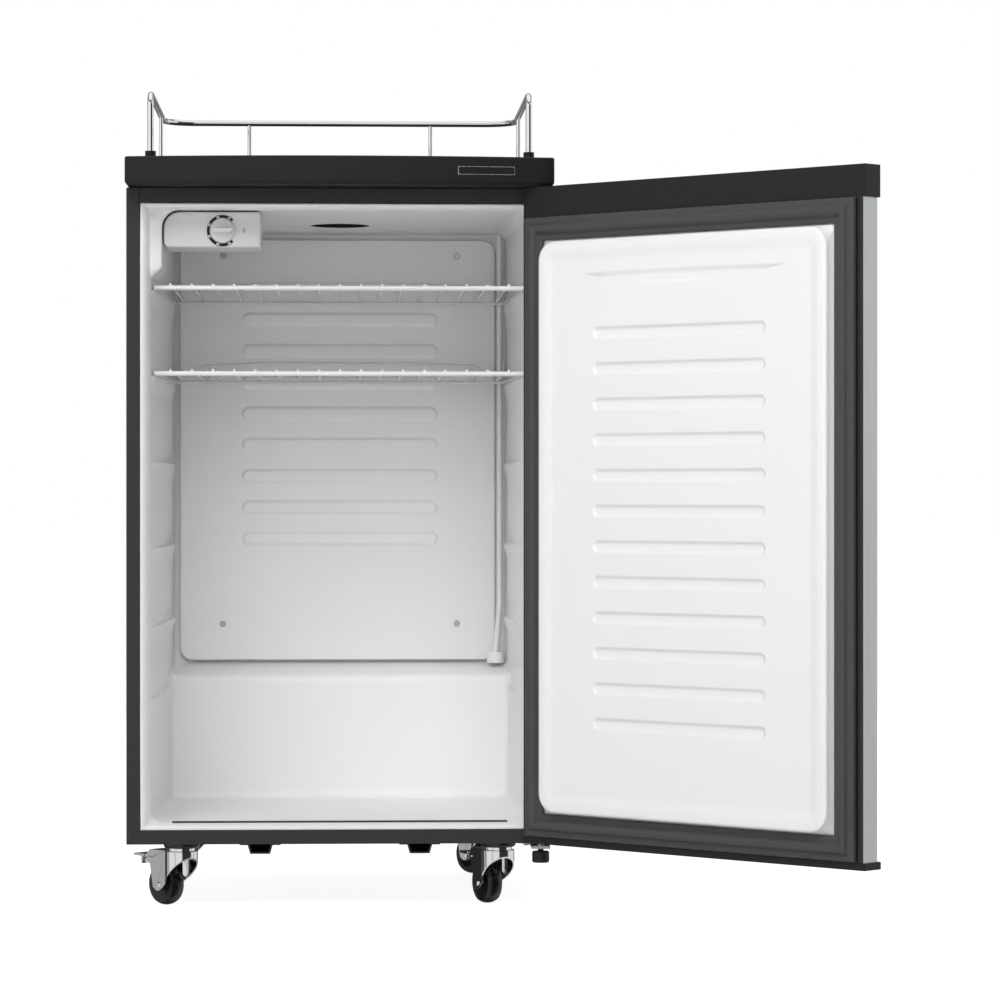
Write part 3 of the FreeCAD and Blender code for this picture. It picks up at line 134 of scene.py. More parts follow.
def finish(name, color, rough, metal=0.0, drift=0.03, rough_drift=0.05, grain=500.0, depth=0.00002,
           stretch=(1, 1, 1), coat=0.0, specular=0.5, slow=6.0):
    """A surface with tonal drift, uneven roughness and a fine relief."""
    made, tree, bsdf, coords = shader(name)
    slow_noise = noise(tree, coords, slow, stretch)
    fine_noise = noise(tree, coords, grain, stretch)
    uneven = spread(tree, fine_noise, rough - rough_drift, rough + rough_drift)
    tree.links.new(tinted(tree, slow_noise, color, drift), bsdf.inputs["Base Color"])
    tree.links.new(uneven, bsdf.inputs["Roughness"])
    bsdf.inputs["Metallic"].default_value = metal
    bsdf.inputs["Coat Weight"].default_value = coat
    bsdf.inputs["Coat Roughness"].default_value = COAT_ROUGHNESS
    bsdf.inputs["Specular IOR Level"].default_value = specular
    relief(tree, bsdf, fine_noise, depth)
    return made


def darkened(made, across, start, below=None):
    """Turns a finish black past start along a direction, and only below a level if one is given."""
    tree = made.node_tree
    coords = [n for n in tree.nodes if n.type == "TEX_COORD"][0].outputs["Object"]

    def past(direction, limit):
        reach = tree.nodes.new("ShaderNodeVectorMath")
        reach.operation = "DOT_PRODUCT"
        reach.inputs[1].default_value = direction
        tree.links.new(coords, reach.inputs[0])
        test = tree.nodes.new("ShaderNodeMath")
        test.operation = "GREATER_THAN"
        test.inputs[1].default_value = limit
        tree.links.new(reach.outputs["Value"], test.inputs[0])
        return test.outputs[0]

    mask = past(across, start)
    if below is not None:
        both = tree.nodes.new("ShaderNodeMath")
        both.operation = "MULTIPLY"
        tree.links.new(mask, both.inputs[0])
        tree.links.new(past(Vector((0, 0, -1)), -below), both.inputs[1])
        mask = both.outputs[0]
    black = tree.nodes.new("ShaderNodeBsdfPrincipled")
    black.inputs["Base Color"].default_value = MASK_BLACK
    black.inputs["Roughness"].default_value = MASK_ROUGHNESS
    plain = tree.nodes["Principled BSDF"].outputs["BSDF"]
    tree.links.new(mixed(tree, mask, plain, black.outputs["BSDF"]),
                   tree.nodes["Material Output"].inputs["Surface"])
    return made


def door_skin():
    """Brushed stainless with vertical grain; the inward return beside the gasket is drawn near black."""
    made = finish("stainless", (0.54, 0.56, 0.555), 0.34, metal=1.0, drift=0.07, rough_drift=0.07,
                  grain=2600.0, depth=0.000012, stretch=(1, 1, 0.006), slow=160.0)
    across = DOOR.to_3x3() @ Vector((0, 1, 0))
    face = local_box("door_outer_panel", DOOR)[1].y + across.dot(DOOR.translation) - 0.4 * MM
    return darkened(made, across, face)


def foam_blocks():
    """Pale rigid foam; black film covers it inside the machine bay."""
    made = finish("foam", (0.82, 0.72, 0.46), 0.9, grain=900.0, depth=0.0004, drift=0.1)
    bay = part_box("compressor_tray")[0].y - 5 * MM
    return darkened(made, Vector((0, 1, 0)), bay, BAY_TOP)


def local_box(node, matrix=Matrix()):
    """Lowest and highest corners of a CAD node in the axes of matrix."""
    back = matrix.inverted()
    points = [back @ vertex.co for vertex in nodes[node].data.vertices]
    low = Vector([min(p[i] for p in points) for i in range(3)])
    high = Vector([max(p[i] for p in points) for i in range(3)])
    return low, high


FINISHES = {
    "black_steel": finish("black_steel", (0.026, 0.026, 0.0265), 0.42, grain=1400.0, depth=0.000035,
                          drift=0.05, specular=0.3),
    "white_liner": finish("white_liner", (0.80, 0.80, 0.795), 0.34, grain=260.0, depth=0.00001,
                          drift=0.012, rough_drift=0.04),
    "foam": foam_blocks(),
    "roll_bond_white": finish("roll_bond_white", (0.84, 0.84, 0.835), 0.38, grain=700.0, depth=0.00002,
                              drift=0.015),
    "zinc_steel": finish("zinc_steel", (0.55, 0.56, 0.57), 0.36, metal=1.0, grain=1800.0, drift=0.08),
    "black_plastic": finish("black_plastic", (0.010, 0.010, 0.0104), 0.44, grain=2200.0, depth=0.00005,
                            drift=0.06, specular=0.28),
    "badge_silver": finish("badge_silver", (0.72, 0.72, 0.73), 0.26, metal=1.0, grain=3000.0,
                           stretch=(0.02, 1, 1), drift=0.05),
    "chrome": finish("chrome", (0.86, 0.86, 0.87), 0.07, metal=1.0, rough_drift=0.02, grain=90.0,
                     depth=0.000004, drift=0.01),
    "black_metal": finish("black_metal", (0.020, 0.020, 0.021), 0.34, grain=1200.0, depth=0.00004,
                          drift=0.08),
    "tyre_black": finish("tyre_black", (0.005, 0.005, 0.005), 0.3, grain=700.0, depth=0.00003, drift=0.1),
    "hub_plastic": finish("hub_plastic", (0.018, 0.018, 0.018), 0.4, grain=1500.0, depth=0.00003,
                          drift=0.08),
    "stainless": door_skin(),
    "gasket_grey": finish("gasket_grey", (0.052, 0.052, 0.053), 0.5, grain=1300.0, depth=0.00003,
                          drift=0.05, specular=0.35),
    "bush_white": finish("bush_white", (0.78, 0.77, 0.74), 0.5, grain=900.0),
    "wire_white": finish("wire_white", (0.68, 0.68, 0.677), 0.3, grain=500.0, depth=0.00002, coat=0.3),
    "rubber_black": finish("rubber_black", (0.016, 0.016, 0.016), 0.6, grain=1100.0, depth=0.00006,
                           drift=0.1),
}
PRINT_BLACK = finish("print_black", (0.005, 0.005, 0.005), 0.5, grain=3000.0, depth=0.000004)
HOUSING_WHITE = finish("housing_white", (0.64, 0.64, 0.637), 0.4, grain=900.0, drift=0.02)
DOOR_WHITE = finish("door_white", (0.755, 0.755, 0.75), 0.34, grain=260.0, depth=0.00001, drift=0.012)
# Near black for the strip across the floor behind the mouth's lip, which paints the shadow line there.
SHADOW_LINE_DARK = finish("painted_shadow_line", (0.035, 0.035, 0.036), 0.6, grain=1200.0, depth=0.00003)


# ---- mesh tools ----


def paint(obj, made):
    """Gives a new piece's mesh one material; CAD nodes take theirs in their object's slots."""
    obj.data.materials.clear()
    obj.data.materials.append(made)


def as_mesh(name, mesh_data):
    """Turns a bmesh into a mesh and frees it."""
    mesh = bpy.data.meshes.new(name)
    mesh_data.to_mesh(mesh)
    mesh_data.free()
    return mesh


def shaded_piece(name, mesh, body, stands_for=(), made=None, sharp=32.0):
    """A shaded piece that rides on a body and may stand for CAD nodes."""
    mesh.polygons.foreach_set("use_smooth", [True] * len(mesh.polygons))
    mesh.set_sharp_from_angle(angle=math.radians(sharp))
    obj = bpy.data.objects.new(name, mesh)
    bpy.context.scene.collection.objects.link(obj)
    slot = slot_of[stands_for[0]] if stands_for else None
    paint(obj, made or FINISHES[slot])
    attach(obj, body)
    if stands_for:
        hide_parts(*stands_for)
    return obj


def add_piece(name, mesh_data, body, stands_for=(), matrix=Matrix(), made=None, sharp=32.0):
    """Places a closed bmesh, drawn in the axes of matrix, with its faces turned outward."""
    bmesh.ops.recalc_face_normals(mesh_data, faces=mesh_data.faces)
    mesh = as_mesh(name, mesh_data)
    mesh.transform(matrix)
    shaded_piece(name, mesh, body, stands_for, made, sharp)


def plain_shading():
    """Modifier nodes that drop a mesh's stored normals and shade every face smooth."""
    group = bpy.data.node_groups.new("plain_shading", "GeometryNodeTree")
    for way in ("INPUT", "OUTPUT"):
        group.interface.new_socket("Geometry", in_out=way, socket_type="NodeSocketGeometry")
    start, end = group.nodes.new("NodeGroupInput"), group.nodes.new("NodeGroupOutput")
    drop = group.nodes.new("GeometryNodeRemoveAttribute")
    drop.inputs["Name"].default_value = "custom_normal"
    smooth_faces = group.nodes.new("GeometryNodeSetShadeSmooth")
    group.links.new(start.outputs["Geometry"], drop.inputs["Geometry"])
    group.links.new(drop.outputs["Geometry"], smooth_faces.inputs["Geometry"])
    group.links.new(smooth_faces.outputs["Geometry"], end.inputs["Geometry"])
    return group


def soften(names, width, segments, shading):
    """Rounds the sharp edges of CAD nodes by modifiers alone, so that their meshes stay as packed."""
    for name in names:
        obj = nodes[name]
        obj.modifiers.new("plain_shading", "NODES").node_group = shading
        weld = obj.modifiers.new("weld", "WELD")
        weld.merge_threshold = 0.002 * MM
        bevel = obj.modifiers.new("soft_edges", "BEVEL")
        bevel.width = width
        bevel.segments = segments
        bevel.limit_method = "ANGLE"
        bevel.angle_limit = math.radians(35.0)
        bevel.harden_normals = True


def rounded(x0, z0, x1, z1, radii, steps=8):
    """Corner-rounded rectangle, counter-clockwise from its low left corner; radii in the same order."""
    centres = ((x0, z0, 1, 1, 180), (x1, z0, -1, 1, 270), (x1, z1, -1, -1, 0), (x0, z1, 1, -1, 90))
    points = []
    for (x, z, sx, sz, start), radius in zip(centres, radii):
        for step in range(steps + 1):
            angle = math.radians(start + 90 * step / steps)
            points.append((x + sx * radius + radius * math.cos(angle),
                           z + sz * radius + radius * math.sin(angle)))
    return points


def pill(x0, x1, z, radius, steps=12):
    """A slot shape between two end centres."""
    points = []
    for centre, start in ((x1, -90), (x0, 90)):
        for step in range(steps + 1):
            angle = math.radians(start + 180 * step / steps)
            points.append((centre + radius * math.cos(angle), z + radius * math.sin(angle)))
    return points


def circle(x, y, radius, steps=48):
    turns = [2 * math.pi * i / steps for i in range(steps)]
    return [(x + radius * math.cos(turn), y + radius * math.sin(turn)) for turn in turns]


def ring(mesh_data, points):
    return [mesh_data.verts.new(p) for p in points]


def bridge(mesh_data, first, second):
    """Quads between two rings of equal length."""
    count = len(first)
    for i in range(count):
        j = (i + 1) % count
        mesh_data.faces.new((first[i], first[j], second[j], second[i]))


def loft(mesh_data, rings, start=True, end=True):
    """Joins point rings into a skin, with flat caps where asked; gives the rings' vertices."""
    made = [ring(mesh_data, points) for points in rings]
    for first, second in zip(made, made[1:]):
        bridge(mesh_data, first, second)
    if start:
        mesh_data.faces.new(reversed(made[0]))
    if end:
        mesh_data.faces.new(made[-1])
    return made


def fill_with_holes(mesh_data, outer, holes):
    """A flat face between an outer ring of vertices and any number of inner ones."""
    edges = []
    for loop in (outer, *holes):
        for i, vertex in enumerate(loop):
            after = loop[(i + 1) % len(loop)]
            edges.append(mesh_data.edges.get((vertex, after)) or mesh_data.edges.new((vertex, after)))
    bmesh.ops.triangle_fill(mesh_data, use_beauty=True, use_dissolve=False, edges=edges)


def temporary(mesh_data, name="cutter"):
    """A throwaway object made from a bmesh."""
    bmesh.ops.recalc_face_normals(mesh_data, faces=mesh_data.faces)
    obj = bpy.data.objects.new(name, as_mesh(name, mesh_data))
    bpy.context.scene.collection.objects.link(obj)
    return obj


def baked(obj, *cutters):
    """The object's mesh with its modifiers applied, as a bmesh; the throwaway objects are removed."""
    bpy.context.view_layer.update()
    done = obj.evaluated_get(bpy.context.evaluated_depsgraph_get())
    result = bmesh.new()
    result.from_mesh(done.to_mesh())
    done.to_mesh_clear()
    for used in (obj, *cutters):
        bpy.data.objects.remove(used)
    return result


def boolean(obj, cutter, operation):
    change = obj.modifiers.new(operation, "BOOLEAN")
    change.object = cutter
    change.operation = operation
    change.solver = "EXACT"


# ---- inner liner ----

# Half widths, heights and depths behind the cabinet's front face.
OPENING = 237.5 * MM
OPENING_LOW = 98.6 * MM
OPENING_HIGH = 847.0 * MM
LIP = 25 * MM
WALL_FRONT = 228 * MM
WALL_REAR = 218.5 * MM
FLOOR = 104 * MM
CEILING = 842.5 * MM
BACK = 457 * MM
STEP_FRONT = 391 * MM
STEP_TOP = 263 * MM
SHOULDER = 278 * MM
LINER_SKIN = 1.5 * MM
# Tops of the shelf ledges, and how far the pocket over each and the ledge itself leave the wall's plane.
SUPPORTS = [z * MM for z in (746.3, 642.6, 539.0, 434.0, 339.0, 252.0)]
POCKET = 2.6 * MM
LEDGE = 4.2 * MM
POCKET_HIGH = 28
LEDGE_DEEP = 24
WALL_BOW = 2.2 * MM
WIDEST_ROUND = 16 * MM


def wall_at(y):
    """The side walls' half width at a depth, before their bow."""
    return WALL_FRONT - (WALL_FRONT - WALL_REAR) * (y - LIP) / (BACK - LIP)


def liner_cavity():
    """The cold space as a closed block with rounded inner edges."""
    cavity = bmesh.new()
    weight = cavity.edges.layers.float.new("bevel_weight_edge")
    step_wall = wall_at(STEP_FRONT)

    def corner(x, y, z):
        return cavity.verts.new((x, y, z))

    mouth = [corner(x, 0, z) for x, z in ((-OPENING, OPENING_LOW), (OPENING, OPENING_LOW),
                                          (OPENING, OPENING_HIGH), (-OPENING, OPENING_HIGH))]
    front = [corner(x, LIP, z) for x, z in ((-WALL_FRONT, FLOOR), (WALL_FRONT, FLOOR),
                                            (WALL_FRONT, CEILING), (-WALL_FRONT, CEILING))]
    foot = [corner(x, STEP_FRONT, FLOOR) for x in (-step_wall, step_wall)]
    crest = [corner(x, STEP_FRONT, STEP_TOP) for x in (-step_wall, step_wall)]
    rear = [corner(x, BACK, z) for x, z in ((-WALL_REAR, SHOULDER), (WALL_REAR, SHOULDER),
                                            (WALL_REAR, CEILING), (-WALL_REAR, CEILING))]
    cavity.faces.new(mouth)
    for i in range(4):
        j = (i + 1) % 4
        cavity.faces.new((mouth[i], front[i], front[j], mouth[j]))
    cavity.faces.new((front[0], foot[0], foot[1], front[1]))
    cavity.faces.new((foot[0], crest[0], crest[1], foot[1]))
    cavity.faces.new((crest[0], rear[0], rear[1], crest[1]))
    cavity.faces.new((front[3], front[2], rear[2], rear[3]))
    cavity.faces.new(rear)
    cavity.faces.new((front[0], front[3], rear[3], rear[0], crest[0], foot[0]))
    cavity.faces.new((front[1], foot[1], crest[1], rear[1], rear[2], front[2]))

    rounds = [(front[i], front[(i + 1) % 4], 9 * MM) for i in range(4)]
    rounds += [(rear[i], rear[(i + 1) % 4], 5 * MM) for i in range(1, 4)]
    rounds += [(front[3], rear[3], WIDEST_ROUND), (front[2], rear[2], WIDEST_ROUND),
               (foot[0], foot[1], 12 * MM), (crest[0], crest[1], 8 * MM), (rear[0], rear[1], 5 * MM)]
    for i in (0, 1):
        rounds += [(front[i], foot[i], 14 * MM), (foot[i], crest[i], 8 * MM), (crest[i], rear[i], 8 * MM)]
    for a, b, radius in rounds:
        cavity.edges.get((a, b))[weight] = radius / WIDEST_ROUND
    block = temporary(cavity, "cavity")
    soft = block.modifiers.new("rounds", "BEVEL")
    soft.width = WIDEST_ROUND
    soft.segments = 6
    soft.limit_method = "WEIGHT"
    return block


def smooth(low, high, value):
    """0 below low, 1 above high, an S curve between."""
    share = min(1.0, max(0.0, (value - low) / (high - low)))
    return share * share * (3 - 2 * share)


def wall_relief(y, z):
    """How far a side wall leaves its plane: outward in the pockets, inward at the ledges below them."""
    shift = 0.0
    for top in SUPPORTS:
        back = 436 * MM if top > STEP_TOP else STEP_FRONT - 10 * MM
        up = (z - top) / MM
        if not -LEDGE_DEEP - 2 < up < POCKET_HIGH + 2 or y > back + 5 * MM:
            continue
        deep = smooth(55 * MM, back, y) ** 0.7 * (1 - smooth(back - 3 * MM, back + 3 * MM, y))
        pocket = POCKET * deep * smooth(0.2, 2.2, up) * (1 - smooth(5, POCKET_HIGH, up))
        along = smooth(30 * MM, 60 * MM, y) * (1 - smooth(back - 14 * MM, back + 4 * MM, y))
        ledge = LEDGE * along * (1 - smooth(-0.4, 0.6, up)) * smooth(-LEDGE_DEEP, -3, up)
        shift += pocket - ledge
    return shift


def wall_curve(y):
    """The moulding's draft eases off behind the mouth, so the walls bow in a little."""
    return -WALL_BOW * smooth(20 * MM, 170 * MM, y) * (1 - smooth(190 * MM, 440 * MM, y))


def slice_through(mesh_data, axis, places):
    """Cuts every face at planes across an axis, so that it can be bent there."""
    normal = Vector([1.0 if i == axis else 0.0 for i in range(3)])
    for place in places:
        geom = mesh_data.verts[:] + mesh_data.edges[:] + mesh_data.faces[:]
        bmesh.ops.bisect_plane(mesh_data, geom=geom, dist=0.02 * MM, plane_co=normal * place,
                               plane_no=normal)


def bend_walls(skin):
    """Gives the flat side walls their bow and their pressed relief."""
    depths = (38, 46, 54, 62, 74, 90, 110, 135, 165, 200, 240, 280, 315, 345, 362, 372,
              377, 379, 381, 383, 388, 400, 416, 424, 430, 433, 435, 437, 440)
    steps = (-LEDGE_DEEP, -20, -16, -12, -8, -5, -3, -1, -0.4, 0.1, 0.6, 1.0, 1.6, 2.2,
             4, 7, 11, 15, 19, 23, POCKET_HIGH)
    slice_through(skin, 1, [depth * MM for depth in depths])
    slice_through(skin, 2, [top + step * MM for top in SUPPORTS for step in steps])
    front, back, tolerance = LIP + 3 * MM, BACK - 10 * MM, 0.15 * MM
    for vertex in skin.verts:
        x, y, z = vertex.co
        if y < front or y > back:
            continue
        side = math.copysign(1.0, x)
        share = abs(x) / wall_at(y)
        flat = abs(abs(x) - wall_at(y)) < tolerance
        vertex.co.x += side * (wall_curve(y) * share ** 3 + (wall_relief(y, z) if flat else 0.0))


def thermostat_moulding():
    """The wall swells beside the thermostat box and leaves a narrow gap round its rounded corner."""
    low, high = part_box("thermostat_housing")
    gap, radius = 2.0 * MM, 20 * MM
    near, deep = 29 * MM, high.y + 5 * MM
    inner, fade, outer = -low.x + gap, 18 * MM, WALL_FRONT + 0.4 * MM
    end = SUPPORTS[0] + 11 * MM
    stations = []
    for step in range(9):
        share = step / 8
        stations.append((end + fade * share, outer + (inner - outer) * smooth(0, 1, share)))
    arc_x, arc_z = -low.x - radius, high.z - radius
    stations.append((arc_z, inner))
    for step in range(1, 8):  # most of the way round the box's upper corner
        angle = math.radians(11.5 * step)
        stations.append((arc_z + (radius + gap) * math.sin(angle),
                         arc_x + (radius + gap) * math.cos(angle)))

    def outline_at(z, inner):
        far = WALL_FRONT + 2 * MM
        return [(-far, near - 3 * MM, z), (-inner - 3 * MM, near, z), (-inner, near + 3 * MM, z),
                (-inner, deep, z), (-far, deep, z)]

    swell = bmesh.new()
    loft(swell, [outline_at(*station) for station in stations])
    return temporary(swell)


def build_liner():
    """The thin white moulding of the cold space, open at the mouth and at the tower hole."""
    low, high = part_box("tower_sleeve")
    middle = (low + high) / 2
    hole = bmesh.new()
    rim = circle(middle.x, middle.y, (high.x - low.x) / 2)
    hole_top = CEILING + LINER_SKIN
    loft(hole, [[(x, y, z) for x, y in rim] for z in (CEILING - 5 * MM, hole_top)])
    block = liner_cavity()
    bore, swell = temporary(hole), thermostat_moulding()
    boolean(block, bore, "UNION")
    boolean(block, swell, "DIFFERENCE")
    skin = baked(block, bore, swell)
    near = 0.01 * MM
    open_faces = [f for f in skin.faces if all(v.co.y < near for v in f.verts)
                  or all(abs(v.co.z - hole_top) < near for v in f.verts)]
    bmesh.ops.delete(skin, geom=open_faces, context="FACES")
    bmesh.ops.reverse_faces(skin, faces=skin.faces)
    bend_walls(skin)
    name = "inner_liner_moulding"
    liner = shaded_piece(name, as_mesh(name, skin), "root", ("inner_liner",), sharp=34.0)
    sheet = liner.modifiers.new("sheet", "SOLIDIFY")
    sheet.thickness = LINER_SKIN
    sheet.offset = -1


def build_floor_seam():
    """A near-black strip across the cabinet's floor, just behind the mouth's lip: painted shadow standing for the
    shade line there.
    """
    shadow_line = bmesh.new()
    half, front, back = 202 * MM, LIP + 3 * MM, LIP + 9 * MM
    radii = (0.3 * MM,) * 2 + (0.7 * MM,) * 2
    outline = rounded(-half, FLOOR - 1 * MM, half, FLOOR + 1.7 * MM, radii, steps=3)
    loft(shadow_line, [[(x, y, z) for x, z in outline] for y in (front, back)])
    add_piece("floor_shadow_strip", shadow_line, "root", made=SHADOW_LINE_DARK)


# ---- evaporator plate ----


def build_evaporator():
    """The plate on the back wall, with eight raised ribs."""
    low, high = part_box("evaporator_plate")
    rib = 3.0 * MM
    face, back = low.y + rib, high.y
    edge = 0.6 * MM
    plate = bmesh.new()

    def border(inset, y):
        radii = (17 * MM - inset,) * 4
        outline = rounded(low.x + inset, low.z + inset, high.x - inset, high.z - inset, radii)
        return [(x, y, z) for x, z in outline]

    loft(plate, [border(0, back), border(0, face + edge), border(edge * 0.3, face + edge * 0.3),
                 border(edge, face)])
    ribs, first, pitch = 8, 728.5 * MM, 41.1 * MM
    half, radius = 128 * MM, 8.5 * MM
    slope = ((1.4, 0.0), (0.5, 0.25), (-0.5, 1.1), (-1.6, 2.2), (-2.8, 2.8), (-4.2, 3.0))
    for row in range(ribs):
        level = first - pitch * row
        rings = []
        for grow, proud in slope:
            slot = pill(-half + radius, half - radius, level, radius + grow * MM)
            rings.append([(x, face - proud * MM, z) for x, z in slot])
        loft(plate, rings, start=False)
    add_piece("evaporator_sheet", plate, "root", ("evaporator_plate",))


# ---- thermostat ----


def build_thermostat_case():
    low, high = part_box("thermostat_housing")
    radii = [r * MM for r in (7, 2.5, 2.5, 20)]
    casing = bmesh.new()

    def outline(inset, y):
        kept = [max(r - inset, 0.5 * MM) for r in radii]
        corners = rounded(low.x + inset, low.z + inset, high.x - inset, high.z - inset, kept)
        return [(x, y, z) for x, z in corners]

    front, soft = low.y, 3.2 * MM
    rings = [outline(1.2 * MM, high.y), outline(0, high.y - 1.2 * MM), outline(0, front + soft)]
    for step in range(1, 6):
        angle = math.radians(18 * step)
        rings.append(outline(soft * (1 - math.cos(angle)), front + soft * (1 - math.sin(angle))))
    loft(casing, rings)
    add_piece("thermostat_case", casing, "root", ("thermostat_housing",), made=HOUSING_WHITE)


def dial_place():
    """The dial's centre across and up, its radius, and the depth of the case's front."""
    low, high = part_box("thermostat_knob")
    centre = (low + high) / 2
    return centre.x, centre.z, (high.x - low.x) / 2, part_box("thermostat_housing")[0].y


def digit_mesh(number, size, spot):
    """A printed digit of a size, upright at a spot."""
    name = f"digit_{number}"
    curve = bpy.data.curves.new(name, "FONT")
    curve.body = str(number)
    curve.size = size
    curve.align_x, curve.align_y = "CENTER", "CENTER"
    text = bpy.data.objects.new(name, curve)
    bpy.context.scene.collection.objects.link(text)
    bpy.context.view_layer.update()
    flat = text.evaluated_get(bpy.context.evaluated_depsgraph_get()).to_mesh().copy()
    flat.transform(Matrix.Translation(spot) @ Matrix.Rotation(math.pi / 2, 4, "X"))
    bpy.data.objects.remove(text)
    return flat


def build_dial_print():
    """A black ring broken by six numbers in thin circles, open to the right, and a 0 beside it."""
    cx, cz, radius, front = dial_place()
    dial = bmesh.new()
    inner, outer, lift = radius + 0.5 * MM, radius + 4.2 * MM, 0.12 * MM
    numbers, first_mark, ring_end = 6, 62.0, 46.0
    marks = [360 - first_mark - i * (360 - 2 * first_mark) / (numbers - 1) for i in range(numbers)]
    middle = (inner + outer) / 2
    half_mark = math.degrees(1.9 * MM / middle)
    stops = [360 - ring_end, *(edge for m in marks for edge in (m + half_mark, m - half_mark)), ring_end]
    for start, end in zip(stops[::2], stops[1::2]):
        arc = [math.radians(start + (end - start) * i / 10) for i in range(11)]
        band = [(cx + outer * math.cos(a), cz + outer * math.sin(a)) for a in arc]
        band += [(cx + inner * math.cos(a), cz + inner * math.sin(a)) for a in reversed(arc)]
        loft(dial, [[(x, y, z) for x, z in band] for y in (front + 0.1 * MM, front - lift)])
    dial.from_mesh(digit_mesh(0, 7 * MM, (cx + 26 * MM, front - lift, cz)))
    for number, mark in enumerate(marks, start=1):
        angle = math.radians(mark)
        x, z = cx + middle * math.cos(angle), cz + middle * math.sin(angle)
        bridge(dial, *(ring(dial, [(px, front - lift, pz) for px, pz in circle(x, z, edge * MM, 24)])
                       for edge in (2.5, 1.9)))
        dial.from_mesh(digit_mesh(number, 4 * MM, (x, front - lift, z)))
    add_piece("dial_print", dial, "root", made=PRINT_BLACK)


def build_dial():
    """A low round knob with a grip bar across it and a raised pointer on the bar."""
    cx, cz, radius, front = dial_place()
    knob = bmesh.new()
    tip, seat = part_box("thermostat_knob")[0].y, front - 0.3 * MM
    skirt = [(radius - 0.6 * MM, seat), (radius, seat - 0.6 * MM), (radius, seat - 3.4 * MM),
             (radius - 0.9 * MM, seat - 4.6 * MM), (radius - 2.2 * MM, seat - 5.2 * MM)]
    loft(knob, [[(x, y, z) for x, z in circle(cx, cz, r)] for r, y in skirt])
    grip_half, grip_thick = radius - 2.4 * MM, 2.6 * MM
    grip = [(0, seat - 4.8 * MM), (0, tip + 1.2 * MM), (0.4 * MM, tip + 0.4 * MM), (1.1 * MM, tip)]
    ends = cx - grip_half + grip_thick, cx + grip_half - grip_thick
    loft(knob, [[(x, y, z) for x, z in pill(*ends, cz, grip_thick - inset)] for inset, y in grip])
    pointer = pill(cx + grip_half - 5 * MM, cx + grip_half - 3 * MM, cz, 0.5 * MM, steps=6)
    loft(knob, [[(x, y, z) for x, z in pointer] for y in (tip + 0.2 * MM, tip - 0.1 * MM)])
    add_piece("thermostat_dial", knob, "thermostat_knob", ("thermostat_knob",), made=HOUSING_WHITE)


# ---- door ----

GASKET_BAND = 28  # the seal's width in mm


def build_door_liner():
    """The raised white panel: round-edged, sunk inside a border, with twelve grooves and a long dent."""
    low, high = local_box("door_liner", DOOR)
    gasket_low, gasket_high = local_box("door_gasket", DOOR)
    band = GASKET_BAND * MM
    u0, u1 = gasket_low.x + band + 0.9 * MM, gasket_high.x - band - 0.9 * MM
    z0, z1 = gasket_low.z + band + 1 * MM, gasket_high.z - band - 0.8 * MM
    base, face = low.y, high.y
    flange = base + 1.5 * MM
    # The rim's corners are round, and the foot of its walls is nearly square.
    rim_corner, foot_corner, least_corner = 25 * MM, 3 * MM, 6 * MM
    panel = bmesh.new()

    def border(inset, v, corner=rim_corner):
        radii = (max(corner - inset, min(corner, least_corner)),) * 4
        return [(u, v, z) for u, z in rounded(u0 + inset, z0 + inset, u1 - inset, z1 - inset, radii)]

    tucked = 12 * MM  # how far the flange goes under the seal
    outer = rounded(u0 - tucked, z0 - tucked, u1 + tucked, z1 + tucked, (foot_corner,) * 4)
    rings = [[(u, v, z) for u, z in outer] for v in (base, flange)]
    rings += [border(-0.6 * MM, flange, foot_corner), border(0.4 * MM, flange + 1 * MM, foot_corner)]
    round_up = 4.0 * MM
    rings.append(border(1.6 * MM, face - round_up))
    for step in range(1, 7):
        angle = math.radians(15 * step)
        rings.append(border(1.6 * MM + round_up * (1 - math.cos(angle)),
                            face - round_up * (1 - math.sin(angle))))
    sunk = 2.2
    for inset, drop in ((12, 0), (15, 0.25), (19, 1.1), (23, 1.95), (25.5, sunk), (27, sunk)):
        rings.append(border(inset * MM, face - drop * MM))
    made = loft(panel, rings, end=False)
    field = face - sunk * MM

    def pressed(outline_at, profile):
        """A dent: rings from the field's surface down to its floor."""
        rings = [[(u, field - down * MM, z) for u, z in outline_at(inset)] for inset, down in profile]
        return loft(panel, rings, start=False)[0]

    holes = []
    grooves, first, pitch = 12, 688.4 * MM, 41.6 * MM
    near, far, radius = -107 * MM, -365 * MM, 7.15 * MM
    groove = ((-2.0, 0), (-0.9, 0), (0.1, 0.25), (1.0, 1.0), (2.0, 1.9), (3.4, 2.5), (5.0, 2.7))
    for row in range(grooves):
        level = first - pitch * row
        holes.append(pressed(
            lambda inset: pill(far + radius, near - radius, level, radius - inset * MM), groove))
    left, right, top, sag = -396 * MM, -89 * MM, 760 * MM, 15 * MM
    steps = 24

    def crescent(share):
        """A long dent with a nearly straight upper edge and a bowed lower one."""
        half = (right - left) / 2 * (1 - 0.10 * share)
        middle = (left + right) / 2
        upper = top - 7 * MM * share
        lower = sag * (1 - 0.72 * share)
        points = []
        for i in range(steps + 1):
            t = -1 + 2 * i / steps
            points.append((middle + half * t, upper - lower * (1 - t * t) - 0.6 * MM))
        for i in range(1, steps):
            t = 1 - 2 * i / steps
            points.append((middle + half * t, upper + 1.2 * MM * (1 - t * t)))
        return points

    dent = ((-0.1, 0), (0, 0), (0.12, 0.12), (0.35, 0.8), (0.7, 2.0), (0.9, 2.4), (1.0, 2.4))
    holes.append(pressed(crescent, dent))
    fill_with_holes(panel, made[-1], holes)
    add_piece("door_inner_panel", panel, "door", ("door_liner",), DOOR, DOOR_WHITE, sharp=40)


